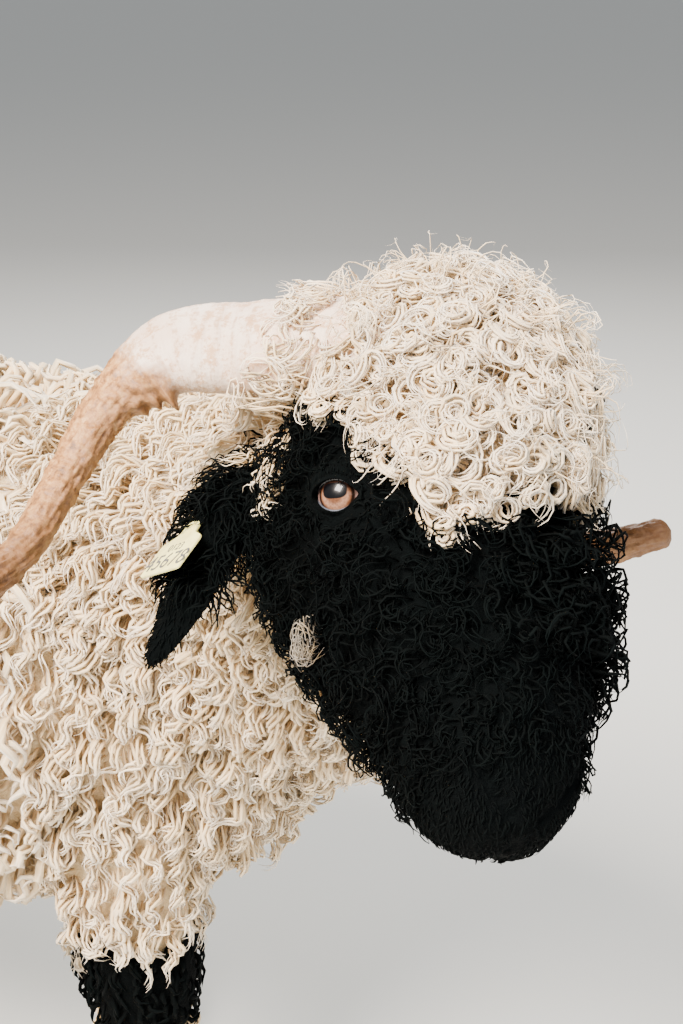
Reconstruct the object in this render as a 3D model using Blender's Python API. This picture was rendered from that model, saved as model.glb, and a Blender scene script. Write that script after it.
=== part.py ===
"""A life-size standing sheep of a black-faced, white-fleeced alpine breed, with curled horns.

The sheep faces +X, its left side is +Y, and it stands on the plane Z = 0. Its head is turned to its right.
The body is modelled whole, with its wool as rounded clumps, and is then parted with thin cuts into
forelock, neck, torso, tail and the lengths of the legs. The head is cut to the same surface under them. Eyes, ears, horns, claws and the ear tag are pieces of
their own, each set into the surface that it grows from.
"""

import math
import random

import bpy
import bmesh
import numpy as np
from mathutils import Matrix, Vector
from mathutils.bvhtree import BVHTree

GAP = 0.0003                      # left between pieces that touch
MM = 0.001

# Stance
FORELEG_X = 0.30
FORELEG_STEP = 0.11               # the left foreleg stands this far behind the right one
FORELEG_Y = 0.105
HIND_FOOT_X = -0.375
HIND_LEG_Y = 0.115
KNEE_HEIGHT = 0.295
HOCK_HEIGHT = 0.285
FETLOCK_HEIGHT = 0.105
HOOF_HEIGHT = 0.042

# Where the body is parted
NECK_CUT_POINT = Vector((0.315, 0, 0.60))
NECK_CUT_FACING = Vector((0.853, 0, 0.521)).normalized()
HEAD_CUT_POINT = Vector((-70, 0, -44))        # in the head's own millimetres
HEAD_CUT_FACING = Vector((0.80, 0.10, 0.60)).normalized()
FORELEG_CUT = 0.385
HINDLEG_CUT = 0.430

# Head: the point between the eyes, and how far the head is turned, dipped and rolled, in degrees
HEAD_MIDDLE = Vector((0.561, -0.297, 0.778))
HEAD_TURN = 66.5
HEAD_DIP = 27.0
HEAD_ROLL = 22.5

# Eyes, in the head's millimetres
EYE_RADIUS = 13.0
EYE_PLACE = Vector((4, 62, 3))
EYE_FACING = Vector((0.45, 0.85, 0.28)).normalized()
LID_OPENING = (12.0, 7.4)          # half the width and half the height of the gap between the lids

# Coat: how far the tips of the clumps stand off the core, and how far apart the clumps are
FLEECE_RISE = 0.034
NECK_RISE = 0.029
TAIL_RISE = 0.018
LEG_RISE = 0.019
FORELOCK_RISE = 0.038
TORSO_SPACING = 0.190
NECK_SPACING = 0.138
TAIL_SPACING = 0.125
LEG_SPACING = 0.100
FORELOCK_SPACING = 0.059

WOOL = ("wool", (0.86, 0.80, 0.70), 0.95)
BLACK_WOOL = ("black_wool", (0.018, 0.018, 0.021), 0.9)
HORN = ("horn", (0.72, 0.55, 0.37), 0.6)
EYE = ("eye", (0.30, 0.16, 0.08), 0.1)
HOOF = ("hoof", (0.05, 0.045, 0.04), 0.5)
TAG = ("tag", (0.92, 0.80, 0.22), 0.4)

SIDES = (("right", -1), ("left", 1))


def clear_scene():
    for thing in list(bpy.data.objects):
        bpy.data.objects.remove(thing, do_unlink=True)


def new_collection(name):
    made = bpy.data.collections.new(name)
    bpy.context.scene.collection.children.link(made)
    return made


def material(recipe):
    name, colour, roughness = recipe
    found = bpy.data.materials.get(name)
    if found:
        return found
    made = bpy.data.materials.new(name)
    made.use_nodes = True
    shader = made.node_tree.nodes["Principled BSDF"]
    shader.inputs["Base Color"].default_value = (*colour, 1.0)
    shader.inputs["Roughness"].default_value = roughness
    shader.inputs["Metallic"].default_value = 0.0
    return made


def head_frame():
    """The matrix from the head's millimetres (nose, left, crown) to the body's metres."""
    turn = Matrix.Rotation(math.radians(-HEAD_TURN), 4, "Z")
    dip = Matrix.Rotation(math.radians(HEAD_DIP), 4, "Y")
    roll = Matrix.Rotation(math.radians(-HEAD_ROLL), 4, "X")
    return Matrix.Translation(HEAD_MIDDLE) @ turn @ dip @ roll @ Matrix.Scale(MM, 4)


def smooth_row(knots, t):
    """The row of numbers at place t on a smooth curve through the knots, t running from 0 to their last."""
    last = len(knots) - 1
    t = min(max(t, 0.0), float(last))
    i = min(int(t), last - 1)
    u = t - i
    b, c = knots[i], knots[i + 1]
    a = knots[i - 1] if i > 0 else 2 * b - c
    d = knots[i + 2] if i + 2 <= last else 2 * c - b
    return 0.5 * (2 * b + (c - a) * u + (2 * a - 5 * b + 4 * c - d) * u ** 2 + (3 * b - a - 3 * c + d) * u ** 3)


class Form:
    """A long rounded form: each knot gives x, y, z, half its width, its rise and drop, and its squareness."""

    def __init__(self, knots, up, frame=Matrix.Identity(4)):
        self.knots = np.array(knots, float)
        self.up = Vector(up)
        self.frame = frame
        self.last = len(knots) - 1

    def section(self, t):
        row = smooth_row(self.knots, t)
        ahead = smooth_row(self.knots, min(t + 0.02, self.last)) - smooth_row(self.knots, max(t - 0.02, 0))
        along = Vector(ahead[:3]).normalized()
        across = self.up.cross(along).normalized()
        upward = along.cross(across).normalized()
        return Vector(row[:3]), across, upward, row[3:]

    def point(self, t, angle):
        middle, across, upward, (half_width, rise, drop, square) = self.section(t)
        c, s = math.cos(angle), math.sin(angle)
        wide = math.copysign(abs(c) ** (2 / square), c) * half_width
        tall = math.copysign(abs(s) ** (2 / square), s) * (rise if s > 0 else drop)
        return self.frame @ (middle + across * wide + upward * tall)

    def normal(self, t, angle):
        step_t = self.point(min(t + 0.05, self.last), angle) - self.point(max(t - 0.05, 0), angle)
        step_a = self.point(t, angle + 0.05) - self.point(t, angle - 0.05)
        return step_a.cross(step_t).normalized()

    def middle(self, t):
        return self.frame @ self.section(t)[0]

    def loft(self, cuts_per_knot, sides):
        steps = self.last * cuts_per_knot
        rings = []
        for i in range(steps + 1):
            t = i / cuts_per_knot
            rings.append([self.point(t, 2 * math.pi * k / sides) for k in range(sides)])
        return loft(rings)

    def scatter(self, start, stop, spacing, draw, jitter=0.22):
        """Places set close in staggered rows over the form, from place start to stop, as (t, angle)."""
        places = []
        t = start
        row = 0
        while t <= stop:
            ring = [self.point(t, 2 * math.pi * k / 24) for k in range(24)]
            girth = sum((ring[k] - ring[k - 1]).length for k in range(24))
            count = max(3, round(girth / spacing))
            for k in range(count):
                angle = 2 * math.pi * (k + 0.5 * (row % 2) + draw.uniform(-jitter, jitter)) / count
                places.append((t + draw.uniform(-jitter, jitter) * 0.3, angle))
            slopes = [(self.point(t + 0.1, a) - self.point(t, a)).length / 0.1 for a in (0.5, 1.6, 2.7, 4.7)]
            t += spacing * 0.86 / max(slopes)
            row += 1
        return places


def loft(rings):
    """A closed mesh over rings of as many points each, with both ends filled."""
    made = bmesh.new()
    rows = [[made.verts.new(Vector(point)) for point in ring] for ring in rings]
    around = len(rows[0])
    for a, b in zip(rows, rows[1:]):
        for k in range(around):
            n = (k + 1) % around
            made.faces.new((a[k], a[n], b[n], b[k]))
    for row, step in ((rows[0], -1), (rows[-1], 1)):
        centre = made.verts.new(sum((v.co for v in row), Vector()) / around)
        for k in range(around):
            pair = (row[k], row[(k + 1) % around])[::step]
            made.faces.new((*pair, centre))
    bmesh.ops.recalc_face_normals(made, faces=made.faces)
    if made.calc_volume(signed=True) < 0:
        bmesh.ops.reverse_faces(made, faces=made.faces)
    bmesh.ops.triangulate(made, faces=made.faces)
    return made


def swollen(shape, by=GAP * 1.4):
    """The same closed mesh with every face moved outward by a little more than the gap between pieces."""
    shape.normal_update()
    moved = [(v, v.co + v.normal * (by * min(v.calc_shell_factor(), 3.0))) for v in shape.verts]
    for vert, spot in moved:
        vert.co = spot
    return shape


def to_object(shape, name, collection, recipe=None, smooth=True):
    mesh = bpy.data.meshes.new(name)
    shape.to_mesh(mesh)
    shape.free()
    made = bpy.data.objects.new(name, mesh)
    collection.objects.link(made)
    if recipe:
        mesh.materials.append(material(recipe))
    if smooth:
        mesh.shade_smooth()
    return made


def boolean(thing, other, operation):
    """Applies a Boolean with an object or a whole collection, which is then removed."""
    change = thing.modifiers.new("join", "BOOLEAN")
    change.operation = operation
    change.solver = "MANIFOLD"
    whole_collection = isinstance(other, bpy.types.Collection)
    if whole_collection:
        change.operand_type = "COLLECTION"
        change.collection = other
    else:
        change.object = other
    bpy.context.view_layer.update()
    graph = bpy.context.evaluated_depsgraph_get()
    made = bpy.data.meshes.new_from_object(thing.evaluated_get(graph))
    thing.modifiers.clear()
    thing.data = made
    for item in list(other.objects) if whole_collection else [other]:
        bpy.data.objects.remove(item, do_unlink=True)
    if whole_collection:
        bpy.data.collections.remove(other)
    return thing


def keep_largest(thing):
    """Drops every closed surface of the object but the one that holds most."""
    shape = bmesh.new()
    shape.from_mesh(thing.data)
    bmesh.ops.remove_doubles(shape, verts=shape.verts, dist=1e-7)
    left = set(shape.verts)
    islands = []
    while left:
        grown = set()
        edge = {left.pop()}
        while edge:
            vert = edge.pop()
            grown.add(vert)
            edge |= {e.other_vert(vert) for e in vert.link_edges} - grown
        left -= grown
        islands.append(grown)

    def held(island):
        faces = {f for v in island for f in v.link_faces}
        total = 0.0
        for face in faces:
            first = face.verts[0].co
            for b, c in zip(face.verts[1:], face.verts[2:]):
                total += first.dot(b.co.cross(c.co)) / 6
        return total

    islands.sort(key=held)
    dropped = [v for island in islands[:-1] for v in island]
    bmesh.ops.delete(shape, geom=dropped, context="VERTS")
    shape.to_mesh(thing.data)
    shape.free()
    return thing


def copied(thing, name, collection, recipe=None):
    made = bpy.data.objects.new(name, thing.data.copy())
    made.data.name = name
    collection.objects.link(made)
    if recipe:
        made.data.materials.clear()
        made.data.materials.append(material(recipe))
    return made


def block(low, high, name, collection):
    shape = bmesh.new()
    bmesh.ops.create_cube(shape, size=1.0)
    size = Vector(high) - Vector(low)
    middle = (Vector(high) + Vector(low)) / 2
    bmesh.ops.transform(shape, verts=shape.verts, matrix=Matrix.Translation(middle) @ Matrix.Diagonal((*size, 1)))
    return to_object(shape, name, collection, smooth=False)


def half_space(point, facing, name, collection):
    """A very large block that fills the side of a plane that faces that way."""
    reach = 3.0
    shape = bmesh.new()
    bmesh.ops.create_cube(shape, size=2 * reach)
    bmesh.ops.translate(shape, verts=shape.verts, vec=(0, 0, reach))
    turn = Vector(facing).to_track_quat("Z", "Y").to_matrix().to_4x4()
    bmesh.ops.transform(shape, verts=shape.verts, matrix=Matrix.Translation(point) @ turn)
    return to_object(shape, name, collection, smooth=False)


# The forms of the body, each as its knots from one end to the other. Lengths in metres.

def torso_form():
    """From the rump to the brisket, out to half the depth of the fleece."""
    return Form((
        (-0.492, 0, 0.560, 0.030, 0.035, 0.040, 2.0),
        (-0.478, 0, 0.556, 0.100, 0.085, 0.100, 2.1),
        (-0.420, 0, 0.548, 0.165, 0.135, 0.155, 2.2),
        (-0.320, 0, 0.540, 0.190, 0.165, 0.180, 2.3),
        (-0.180, 0, 0.535, 0.203, 0.174, 0.196, 2.3),
        (-0.020, 0, 0.535, 0.206, 0.170, 0.200, 2.3),
        (0.120, 0, 0.540, 0.195, 0.172, 0.192, 2.3),
        (0.240, 0, 0.545, 0.172, 0.160, 0.182, 2.2),
        (0.335, 0, 0.535, 0.145, 0.135, 0.160, 2.1),
        (0.412, 0, 0.515, 0.108, 0.100, 0.125, 2.0),
        (0.445, 0, 0.505, 0.038, 0.035, 0.042, 2.0)), (0, 0, 1))


def neck_form():
    end = head_frame() @ Vector((-62, 0, -34))
    return Form((
        (0.140, 0.000, 0.560, 0.150, 0.125, 0.150, 2.0),
        (0.240, 0.000, 0.590, 0.150, 0.122, 0.165, 2.0),
        (0.340, -0.022, 0.628, 0.132, 0.106, 0.170, 2.0),
        (0.425, -0.078, 0.678, 0.108, 0.088, 0.152, 2.0),
        (0.482, -0.145, 0.728, 0.086, 0.074, 0.112, 2.0),
        (end.x, end.y, end.z, 0.064, 0.060, 0.072, 2.0)), (-0.3, 0, 1))


def head_form():
    """From the poll to the nose, in the head's millimetres."""
    return Form((
        (-112, 0, -20, 30, 40, 32, 2.0),
        (-104, 0, -18, 52, 62, 52, 2.0),
        (-70, 0, -20, 70, 76, 76, 2.2),
        (-35, 0, -24, 78, 78, 86, 2.5),
        (0, 0, -24, 76, 72, 88, 2.6),
        (35, 0, -26, 71, 72, 78, 2.6),
        (70, 0, -28, 61, 72, 60, 2.5),
        (105, 0, -28, 49, 66, 44, 2.5),
        (135, 0, -28, 42, 58, 34, 2.5),
        (158, 0, -27, 36, 43, 28, 2.4),
        (172, 0, -26, 24, 24, 17, 2.2),
        (177, 0, -26, 10, 9, 8, 2.0)), (0, 0, 1), head_frame())


def crown_form():
    """The wool's core over the crown and between the horns, in the head's millimetres."""
    return Form((
        (-116, 0, 10, 24, 20, 30, 2.0),
        (-90, 0, 18, 64, 48, 50, 2.1),
        (-48, 0, 22, 76, 56, 50, 2.1),
        (-6, 0, 16, 62, 48, 40, 2.0),
        (22, 0, 10, 42, 36, 40, 2.0),
        (36, 0, 4, 16, 20, 20, 2.0)), (0, 0, 1), head_frame())


def foreleg_x(side):
    """The sheep stands in mid-step, with its left foreleg set back."""
    return FORELEG_X - (FORELEG_STEP if side > 0 else 0.0)


def foreleg_form(side):
    y = side * FORELEG_Y
    x = foreleg_x(side)
    return Form((
        (x - 0.015, y * 0.95, 0.520, 0.040, 0.070, 0.080, 2.0),
        (x - 0.008, y, 0.430, 0.050, 0.062, 0.066, 2.0),
        (x, y, 0.350, 0.046, 0.050, 0.052, 2.0),
        (x + 0.004, y, KNEE_HEIGHT, 0.043, 0.046, 0.044, 2.1),
        (x + 0.002, y, 0.235, 0.039, 0.040, 0.040, 2.0),
        (x, y, 0.160, 0.036, 0.038, 0.038, 2.0),
        (x + 0.002, y, FETLOCK_HEIGHT, 0.038, 0.040, 0.043, 2.0),
        (x + 0.014, y, 0.075, 0.036, 0.037, 0.038, 2.0),
        (x + 0.021, y, 0.056, 0.036, 0.038, 0.036, 2.1),
        (x + 0.022, y, HOOF_HEIGHT - 0.008, 0.035, 0.037, 0.034, 2.2)), (1, 0, 0))


def hindleg_form(side):
    y = side * HIND_LEG_Y
    x = HIND_FOOT_X
    return Form((
        (x + 0.090, y * 0.85, 0.560, 0.050, 0.090, 0.100, 2.0),
        (x + 0.070, y * 0.96, 0.460, 0.062, 0.092, 0.094, 2.0),
        (x + 0.035, y, 0.375, 0.054, 0.070, 0.072, 2.0),
        (x - 0.012, y, 0.320, 0.046, 0.052, 0.054, 2.0),
        (x - 0.030, y, HOCK_HEIGHT - 0.015, 0.040, 0.044, 0.046, 2.1),
        (x - 0.022, y, 0.215, 0.037, 0.038, 0.040, 2.0),
        (x - 0.010, y, 0.155, 0.036, 0.037, 0.039, 2.0),
        (x - 0.002, y, FETLOCK_HEIGHT, 0.038, 0.039, 0.043, 2.0),
        (x + 0.012, y, 0.075, 0.036, 0.037, 0.038, 2.0),
        (x + 0.019, y, 0.056, 0.036, 0.038, 0.036, 2.1),
        (x + 0.020, y, HOOF_HEIGHT - 0.008, 0.035, 0.037, 0.034, 2.2)), (1, 0, 0))


def tail_form():
    return Form((
        (-0.440, 0, 0.655, 0.034, 0.030, 0.034, 2.0),
        (-0.492, 0, 0.640, 0.040, 0.034, 0.036, 2.0),
        (-0.520, 0, 0.585, 0.042, 0.030, 0.034, 2.0),
        (-0.532, 0, 0.510, 0.040, 0.027, 0.032, 2.0),
        (-0.536, 0, 0.445, 0.030, 0.022, 0.025, 2.0),
        (-0.537, 0, 0.418, 0.010, 0.009, 0.010, 2.0)), (-1, 0, 0.2))


HORN_LINE = (            # the right horn's middle line, thickness and depth, in the head's millimetres
    (-60, -35, 50, 23, 18),
    (-70, -46, 40, 28, 22),
    (-88, -67, 16, 29, 23),
    (-102, -94, -8, 27, 20),
    (-110, -127, -31, 24, 17),
    (-96, -151, -62, 14.5, 12))
HORN_ENDS = {            # the horns' ends differ: the left one is lifted more
    "right": ((-62, -169, -88, 11, 9.5), (-19, -190, -106, 11, 9.5), (17, -224, -119, 14, 10)),
    "left": ((-82, -161, -77, 14, 11), (-73, -178, -66, 13, 10), (-66, -205, -33, 11, 8))}


def horn_shape(side):
    """A ram's horn: flattened, with a keel along the outside of its curl, tapering to a blunt tip."""
    rows = np.array(HORN_LINE + HORN_ENDS["right" if side < 0 else "left"], float)
    rows[:, 1] *= -side
    steps, sides = 16, 12
    hub = Vector((-72, side * 118, -24))
    rings = []
    for i in range(steps + 1):
        t = (len(rows) - 1) * i / steps
        row = smooth_row(rows, t)
        ahead = smooth_row(rows, t + 0.02) - smooth_row(rows, t - 0.02)
        along = Vector(ahead[:3]).normalized()
        outward = Vector(row[:3]) - hub
        outward = (outward - along * outward.dot(along)).normalized()
        across = along.cross(outward).normalized()
        wide, deep = row[3], row[4]
        ripple = 1 + (0.03 * math.sin(i * 2.4) if 2 < i < steps - 3 else 0)
        if i == steps:
            wide, deep = wide * 0.7, deep * 0.7
        ring = []
        for k in range(sides):
            a = 2 * math.pi * k / sides
            keel = 1 + 0.22 * max(0.0, math.cos(a)) ** 3
            ring.append(Vector(row[:3]) + outward * math.cos(a) * wide * ripple * keel
                        + across * math.sin(a) * deep * ripple)
        rings.append([head_frame() @ p for p in ring])
    return loft(rings)


EAR_LINE = (             # the right ear's middle line, half its width, and the depth of its cup
    (-58, -58, -50, 11, 0),
    (-64, -76, -64, 15, 7),
    (-52, -86, -78, 22, 10),
    (-32, -93, -95, 23, 9),
    (-8, -101, -116, 17, 7),
    (8, -107, -133, 9, 4),
    (14, -109, -140, 3, 1))


def ear_shape(side):
    """A drooping ear: a leaf bent to a cup that opens forward and outward."""
    rows = np.array(EAR_LINE, float)
    rows[:, 1] *= -side
    thick = 4.2
    steps, half = 11, 5
    face = Vector((0.10, -side * 0.85, -0.45)).normalized()
    rings = []
    for i in range(steps + 1):
        t = (len(rows) - 1) * i / steps
        row = smooth_row(rows, t)
        ahead = smooth_row(rows, t + 0.02) - smooth_row(rows, t - 0.02)
        along = Vector(ahead[:3]).normalized()
        opening = (face - along * face.dot(along)).normalized()
        across = along.cross(opening).normalized()
        wide, cup = row[3], row[4]
        wall = min(thick, 0.8 * wide)
        outer, inner = [], []
        for k in range(half + 1):
            u = -1 + 2 * k / half
            bend = cup * (1 - u * u) - cup * 0.5
            edge = wall * 0.5 * (1 - 0.55 * abs(u) ** 3)
            spot = Vector(row[:3]) + across * u * wide - opening * bend
            outer.append(spot - opening * edge)
            inner.append(spot + opening * edge)
        rings.append([head_frame() @ p for p in outer + inner[::-1]])
    return loft(rings)


def lock(root, out, lie, length, half_width, half_thickness, rise, curl=0.4, sides=5, sink=0.016):
    """A rounded clump of wool: it leaves its root, bends over along its lie, and its tip curls back in."""
    out = Vector(out).normalized()
    lie = Vector(lie)
    lie = (lie - out * lie.dot(out)).normalized()
    across = out.cross(lie).normalized()
    profile = ((0.0, 0.85), (0.38, 1.0), (0.78, 0.78), (1.0, 0.25))
    centres = []
    for t, _ in profile:
        stand = -sink + (rise + sink - half_thickness) * math.sin(min(1.0, t * 1.5) * math.pi / 2)
        tuck = rise * curl * max(0.0, t - 0.5) ** 1.5 * 2.8
        forward = length * (t ** 1.2) - length * 0.25
        centres.append(Vector(root) + out * (stand - tuck) + lie * forward)
    rings = []
    for i, (t, size) in enumerate(profile):
        before = centres[max(0, i - 1)]
        after = centres[min(len(centres) - 1, i + 1)]
        along = (after - before).normalized()
        up = along.cross(across).normalized()
        ring = []
        for k in range(sides):
            a = 2 * math.pi * k / sides + i * 0.25
            ring.append(centres[i] + across * math.cos(a) * half_width * size
                        + up * math.sin(a) * half_thickness * size)
        rings.append(ring)
    return loft(rings)


def outside_of(point, trees, margin):
    """Whether a point is clear of the inside of each of the forms by that much."""
    for tree in trees:
        near, facing, _, distance = tree.find_nearest(point)
        inside = (point - near).dot(facing) < 0
        if inside or distance < margin:
            return False
    return True


def add_fleece(pieces):
    """Clumps over the torso, neck, legs and tail, all hanging down and a little back."""
    draw = random.Random(11)
    torso, neck, tail = torso_form(), neck_form(), tail_form()
    head = head_form()
    legs = [(foreleg_form(s), hindleg_form(s)) for _, s in SIDES]
    trees = {}
    for name, form in (("torso", torso), ("neck", neck), ("tail", tail), ("head", head)):
        shape = form.loft(2, 16)
        trees[name] = BVHTree.FromBMesh(shape)
        shape.free()
    for i, pair in enumerate(legs):
        for j, form in enumerate(pair):
            shape = form.loft(2, 12)
            trees["leg%d%d" % (i, j)] = BVHTree.FromBMesh(shape)
            shape.free()
    count = 0

    def cover(form, start, stop, spacing, rise, own, margin=0.012):
        nonlocal count
        others = [tree for name, tree in trees.items() if name != own]
        for t, angle in form.scatter(start, stop, spacing, draw):
            root, out = form.point(t, angle), form.normal(t, angle)
            if not outside_of(root, others, margin) or (own == "tail" and out.x > 0.3):
                continue
            lie = Vector((-0.35, 0, -1)) + out * 0.1
            if out.z > 0.8:
                lie = Vector((-0.5, math.copysign(1, root.y), -0.2))
            if out.z < -0.6:
                lie = Vector((-0.6, 0, -1))
            length = spacing * draw.uniform(0.90, 1.20)
            shape = lock(root, out, lie, length, spacing * 0.52, rise * 0.50, rise * draw.uniform(0.9, 1.1))
            to_object(shape, "clump%03d" % count, pieces)
            count += 1

    cover(torso, 1.5, 9.6, TORSO_SPACING, FLEECE_RISE, "torso", 0.030)
    cover(neck, 1.2, 4.4, NECK_SPACING, NECK_RISE, "neck")
    for i, (fore, hind) in enumerate(legs):
        cover(fore, 1.3, 2.0, LEG_SPACING, LEG_RISE, "leg%d0" % i)
        cover(hind, 1.2, 2.3, LEG_SPACING, LEG_RISE, "leg%d1" % i)
    cover(tail, 1.0, 4.3, TAIL_SPACING, TAIL_RISE, "tail")


def add_forelock(pieces):
    """Curls over the crown, the roots of the horns and the forehead, down to the line of the brows."""
    draw = random.Random(5)
    crown = crown_form()
    frame = head_frame()
    to_head = frame.inverted()
    curls = []
    for _, side in SIDES:
        curls.append((frame @ Vector((-60, side * 60, 40)), frame.to_3x3() @ Vector((-0.1, side * 0.5, 0.85)), 1.5))
    for t, angle in crown.scatter(0.5, 4.4, FORELOCK_SPACING, draw):
        root, out = crown.point(t, angle), crown.normal(t, angle)
        spot = to_head @ root
        if spot.z < 16 or (spot.x > -60 and abs(spot.y) > 68 - 0.45 * (spot.x + 60)):
            continue
        curls.append((root, out, t))
    for number, (root, out, t) in enumerate(curls):
        ahead = crown.middle(t + 0.2) - crown.middle(t)
        lie = ahead.normalized() + Vector((0, 0, -0.8))
        rise = FORELOCK_RISE * draw.uniform(0.85, 1.15)
        shape = lock(root, out, lie, FORELOCK_SPACING, FORELOCK_SPACING * 0.52, rise * 0.5, rise)
        to_object(shape, "curl%03d" % number, pieces)


def eye_sphere(side):
    place = Vector((EYE_PLACE.x, EYE_PLACE.y * side, EYE_PLACE.z))
    shape = bmesh.new()
    bmesh.ops.create_uvsphere(shape, u_segments=14, v_segments=8, radius=EYE_RADIUS)
    facing = Vector((EYE_FACING.x, EYE_FACING.y * side, EYE_FACING.z))
    turn = facing.to_track_quat("Z", "Y").to_matrix().to_4x4()
    bmesh.ops.transform(shape, verts=shape.verts, matrix=head_frame() @ Matrix.Translation(place) @ turn)
    return shape


def lid_bulge(side):
    """The brow and lids round one eye, before the gap between the lids is cut."""
    place = Vector((EYE_PLACE.x, EYE_PLACE.y * side, EYE_PLACE.z + 1))
    facing = Vector((EYE_FACING.x, EYE_FACING.y * side, EYE_FACING.z))
    shape = bmesh.new()
    bmesh.ops.create_uvsphere(shape, u_segments=12, v_segments=8, radius=1.0)
    size = Matrix.Diagonal((21.0, 19.0, EYE_RADIUS + 3.2, 1))
    turn = facing.to_track_quat("Z", "Y").to_matrix().to_4x4()
    bmesh.ops.transform(shape, verts=shape.verts, matrix=head_frame() @ Matrix.Translation(place) @ turn @ size)
    return shape


def lid_gap(side):
    """The almond between the lids, as a short prism that points out of the eye."""
    wide, tall = LID_OPENING
    place = Vector((EYE_PLACE.x, EYE_PLACE.y * side, EYE_PLACE.z))
    facing = Vector((EYE_FACING.x, EYE_FACING.y * side, EYE_FACING.z))
    forward = Vector((0.52, -side * 0.33, 0.79))
    forward = (forward - facing * forward.dot(facing)).normalized()
    upward = facing.cross(forward).normalized()
    if upward.z < 0:
        upward = -upward
    rings = []
    for depth, flare in ((6.0, 0.86), (14.0, 1.0), (24.0, 1.25)):
        ring = []
        for k in range(14):
            a = 2 * math.pi * k / 14
            height = math.sin(a) * tall * (1 - 0.25 * math.cos(a) ** 2)
            ring.append(place + facing * depth + forward * math.cos(a) * wide * flare + upward * height * flare)
        rings.append([head_frame() @ p for p in ring])
    return loft(rings)


def groove(points, half_width, depth, out_of):
    """A V-shaped cutter along points of the head, in its millimetres, as deep as said below the surface."""
    rings = []
    for i, point in enumerate(points):
        before = points[max(0, i - 1)]
        after = points[min(len(points) - 1, i + 1)]
        along = (after - before).normalized()
        out = (point - out_of).normalized()
        side = along.cross(out).normalized()
        end = 0.35 if i in (0, len(points) - 1) else 1.0
        ring = [point - out * depth * end, point + side * half_width * end + out * 3,
                point - side * half_width * end + out * 3]
        rings.append([head_frame() @ p for p in ring])
    return loft(rings)


def surface_point(form, x, angle):
    """The point of the head's form at that place along the nose line, in the head's millimetres."""
    low, high = 0.0, float(form.last)
    for _ in range(30):
        t = (low + high) / 2
        if smooth_row(form.knots, t)[0] < x:
            low = t
        else:
            high = t
    return head_frame().inverted() @ form.point(low, angle)


def mouth_grooves(pieces):
    """The line of the lips round the muzzle, the cleft of the upper lip, and the two nostrils."""
    head = head_form()
    centre = Vector((120, 0, -30))
    line = []
    for x, angle in ((98, -22), (120, -30), (142, -38), (158, -46), (168, -56)):
        line.append(surface_point(head, x, math.radians(angle)))
    mirrored = [Vector((p.x, -p.y, p.z)) for p in line[::-1]]
    front = [Vector((173.0, 0, line[-1].z - 3))]
    to_object(groove(line + front + mirrored, 1.6, 4.5, centre), "mouth", pieces)
    cleft = [surface_point(head, x, math.radians(a)) for x, a in ((170, 60), (176, 10), (175, -50))]
    cleft = [Vector((p.x, 0, z)) for p, z in zip(cleft, (-8, -20, -36))]
    to_object(groove(cleft, 1.3, 3.0, centre), "cleft", pieces)
    for side in (-1, 1):
        rings = []
        for t, wide in ((0, 0.3), (0.25, 1.0), (0.6, 1.0), (1.0, 0.3)):
            middle = Vector((172 - 16 * t, side * (7 + 19 * t ** 0.8), -6 + 13 * t - 3 * t * t))
            out = Vector((0.75, side * 0.65, 0.1)).normalized()
            upward = Vector((0.2, -side * 0.3, 0.9)).normalized()
            ring = []
            for k in range(8):
                a = 2 * math.pi * k / 8
                ring.append(middle + out * math.cos(a) * 7 + upward * math.sin(a) * 3.4 * wide)
            rings.append([head_frame() @ p for p in ring])
        to_object(loft(rings), "nostril%d" % side, pieces)


TAG_STAND = 12.0           # from the middle of the ear to the back of the tag's flag, in millimetres
STUD_RADIUS = 2.4


def tag_frame():
    """Where the tag's stud goes through the right ear, with the tag's face and its length as axes."""
    spot = Vector((-35, -90, -92))
    face = Vector((-0.41, -0.84, 0.37)).normalized()
    hang = Vector((0.79, -0.53, -0.32))
    hang = (hang - face * hang.dot(face)).normalized()
    across = hang.cross(face).normalized()
    turn = Matrix((across, hang, face)).transposed().to_4x4()
    return head_frame() @ Matrix.Translation(spot) @ turn


def tag_flag(work):
    """The tag's flat flag, in front of the ear: its outline drawn as a curve and given its thickness."""
    outline = ((-6, -5), (6, -5), (8, 4), (19, 9), (19, 33), (-19, 33), (-19, 9), (-8, 4))
    thick = 1.6
    curve = bpy.data.curves.new("flag", "CURVE")
    curve.dimensions = "2D"
    curve.fill_mode = "BOTH"
    curve.extrude = thick / 2
    line = curve.splines.new("POLY")
    line.points.add(len(outline) - 1)
    for point, (x, y) in zip(line.points, outline):
        point.co = (x, y, 0, 1)
    line.use_cyclic_u = True
    drawn = bpy.data.objects.new("flag", curve)
    work.objects.link(drawn)
    bpy.context.view_layer.update()
    graph = bpy.context.evaluated_depsgraph_get()
    mesh = bpy.data.meshes.new_from_object(drawn.evaluated_get(graph))
    bpy.data.objects.remove(drawn, do_unlink=True)
    shape = bmesh.new()
    shape.from_mesh(mesh)
    bpy.data.meshes.remove(mesh)
    bmesh.ops.remove_doubles(shape, verts=shape.verts, dist=0.0001)
    bmesh.ops.translate(shape, verts=shape.verts, vec=(0, 0, TAG_STAND + thick / 2))
    bmesh.ops.recalc_face_normals(shape, faces=shape.faces)
    bmesh.ops.transform(shape, verts=shape.verts, matrix=tag_frame())
    return shape


def disc(radius, low, high, matrix, sides=16):
    shape = bmesh.new()
    bmesh.ops.create_cone(shape, cap_ends=True, segments=sides, radius1=radius, radius2=radius, depth=high - low)
    bmesh.ops.translate(shape, verts=shape.verts, vec=(0, 0, (high + low) / 2))
    bmesh.ops.transform(shape, verts=shape.verts, matrix=matrix)
    return shape


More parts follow.
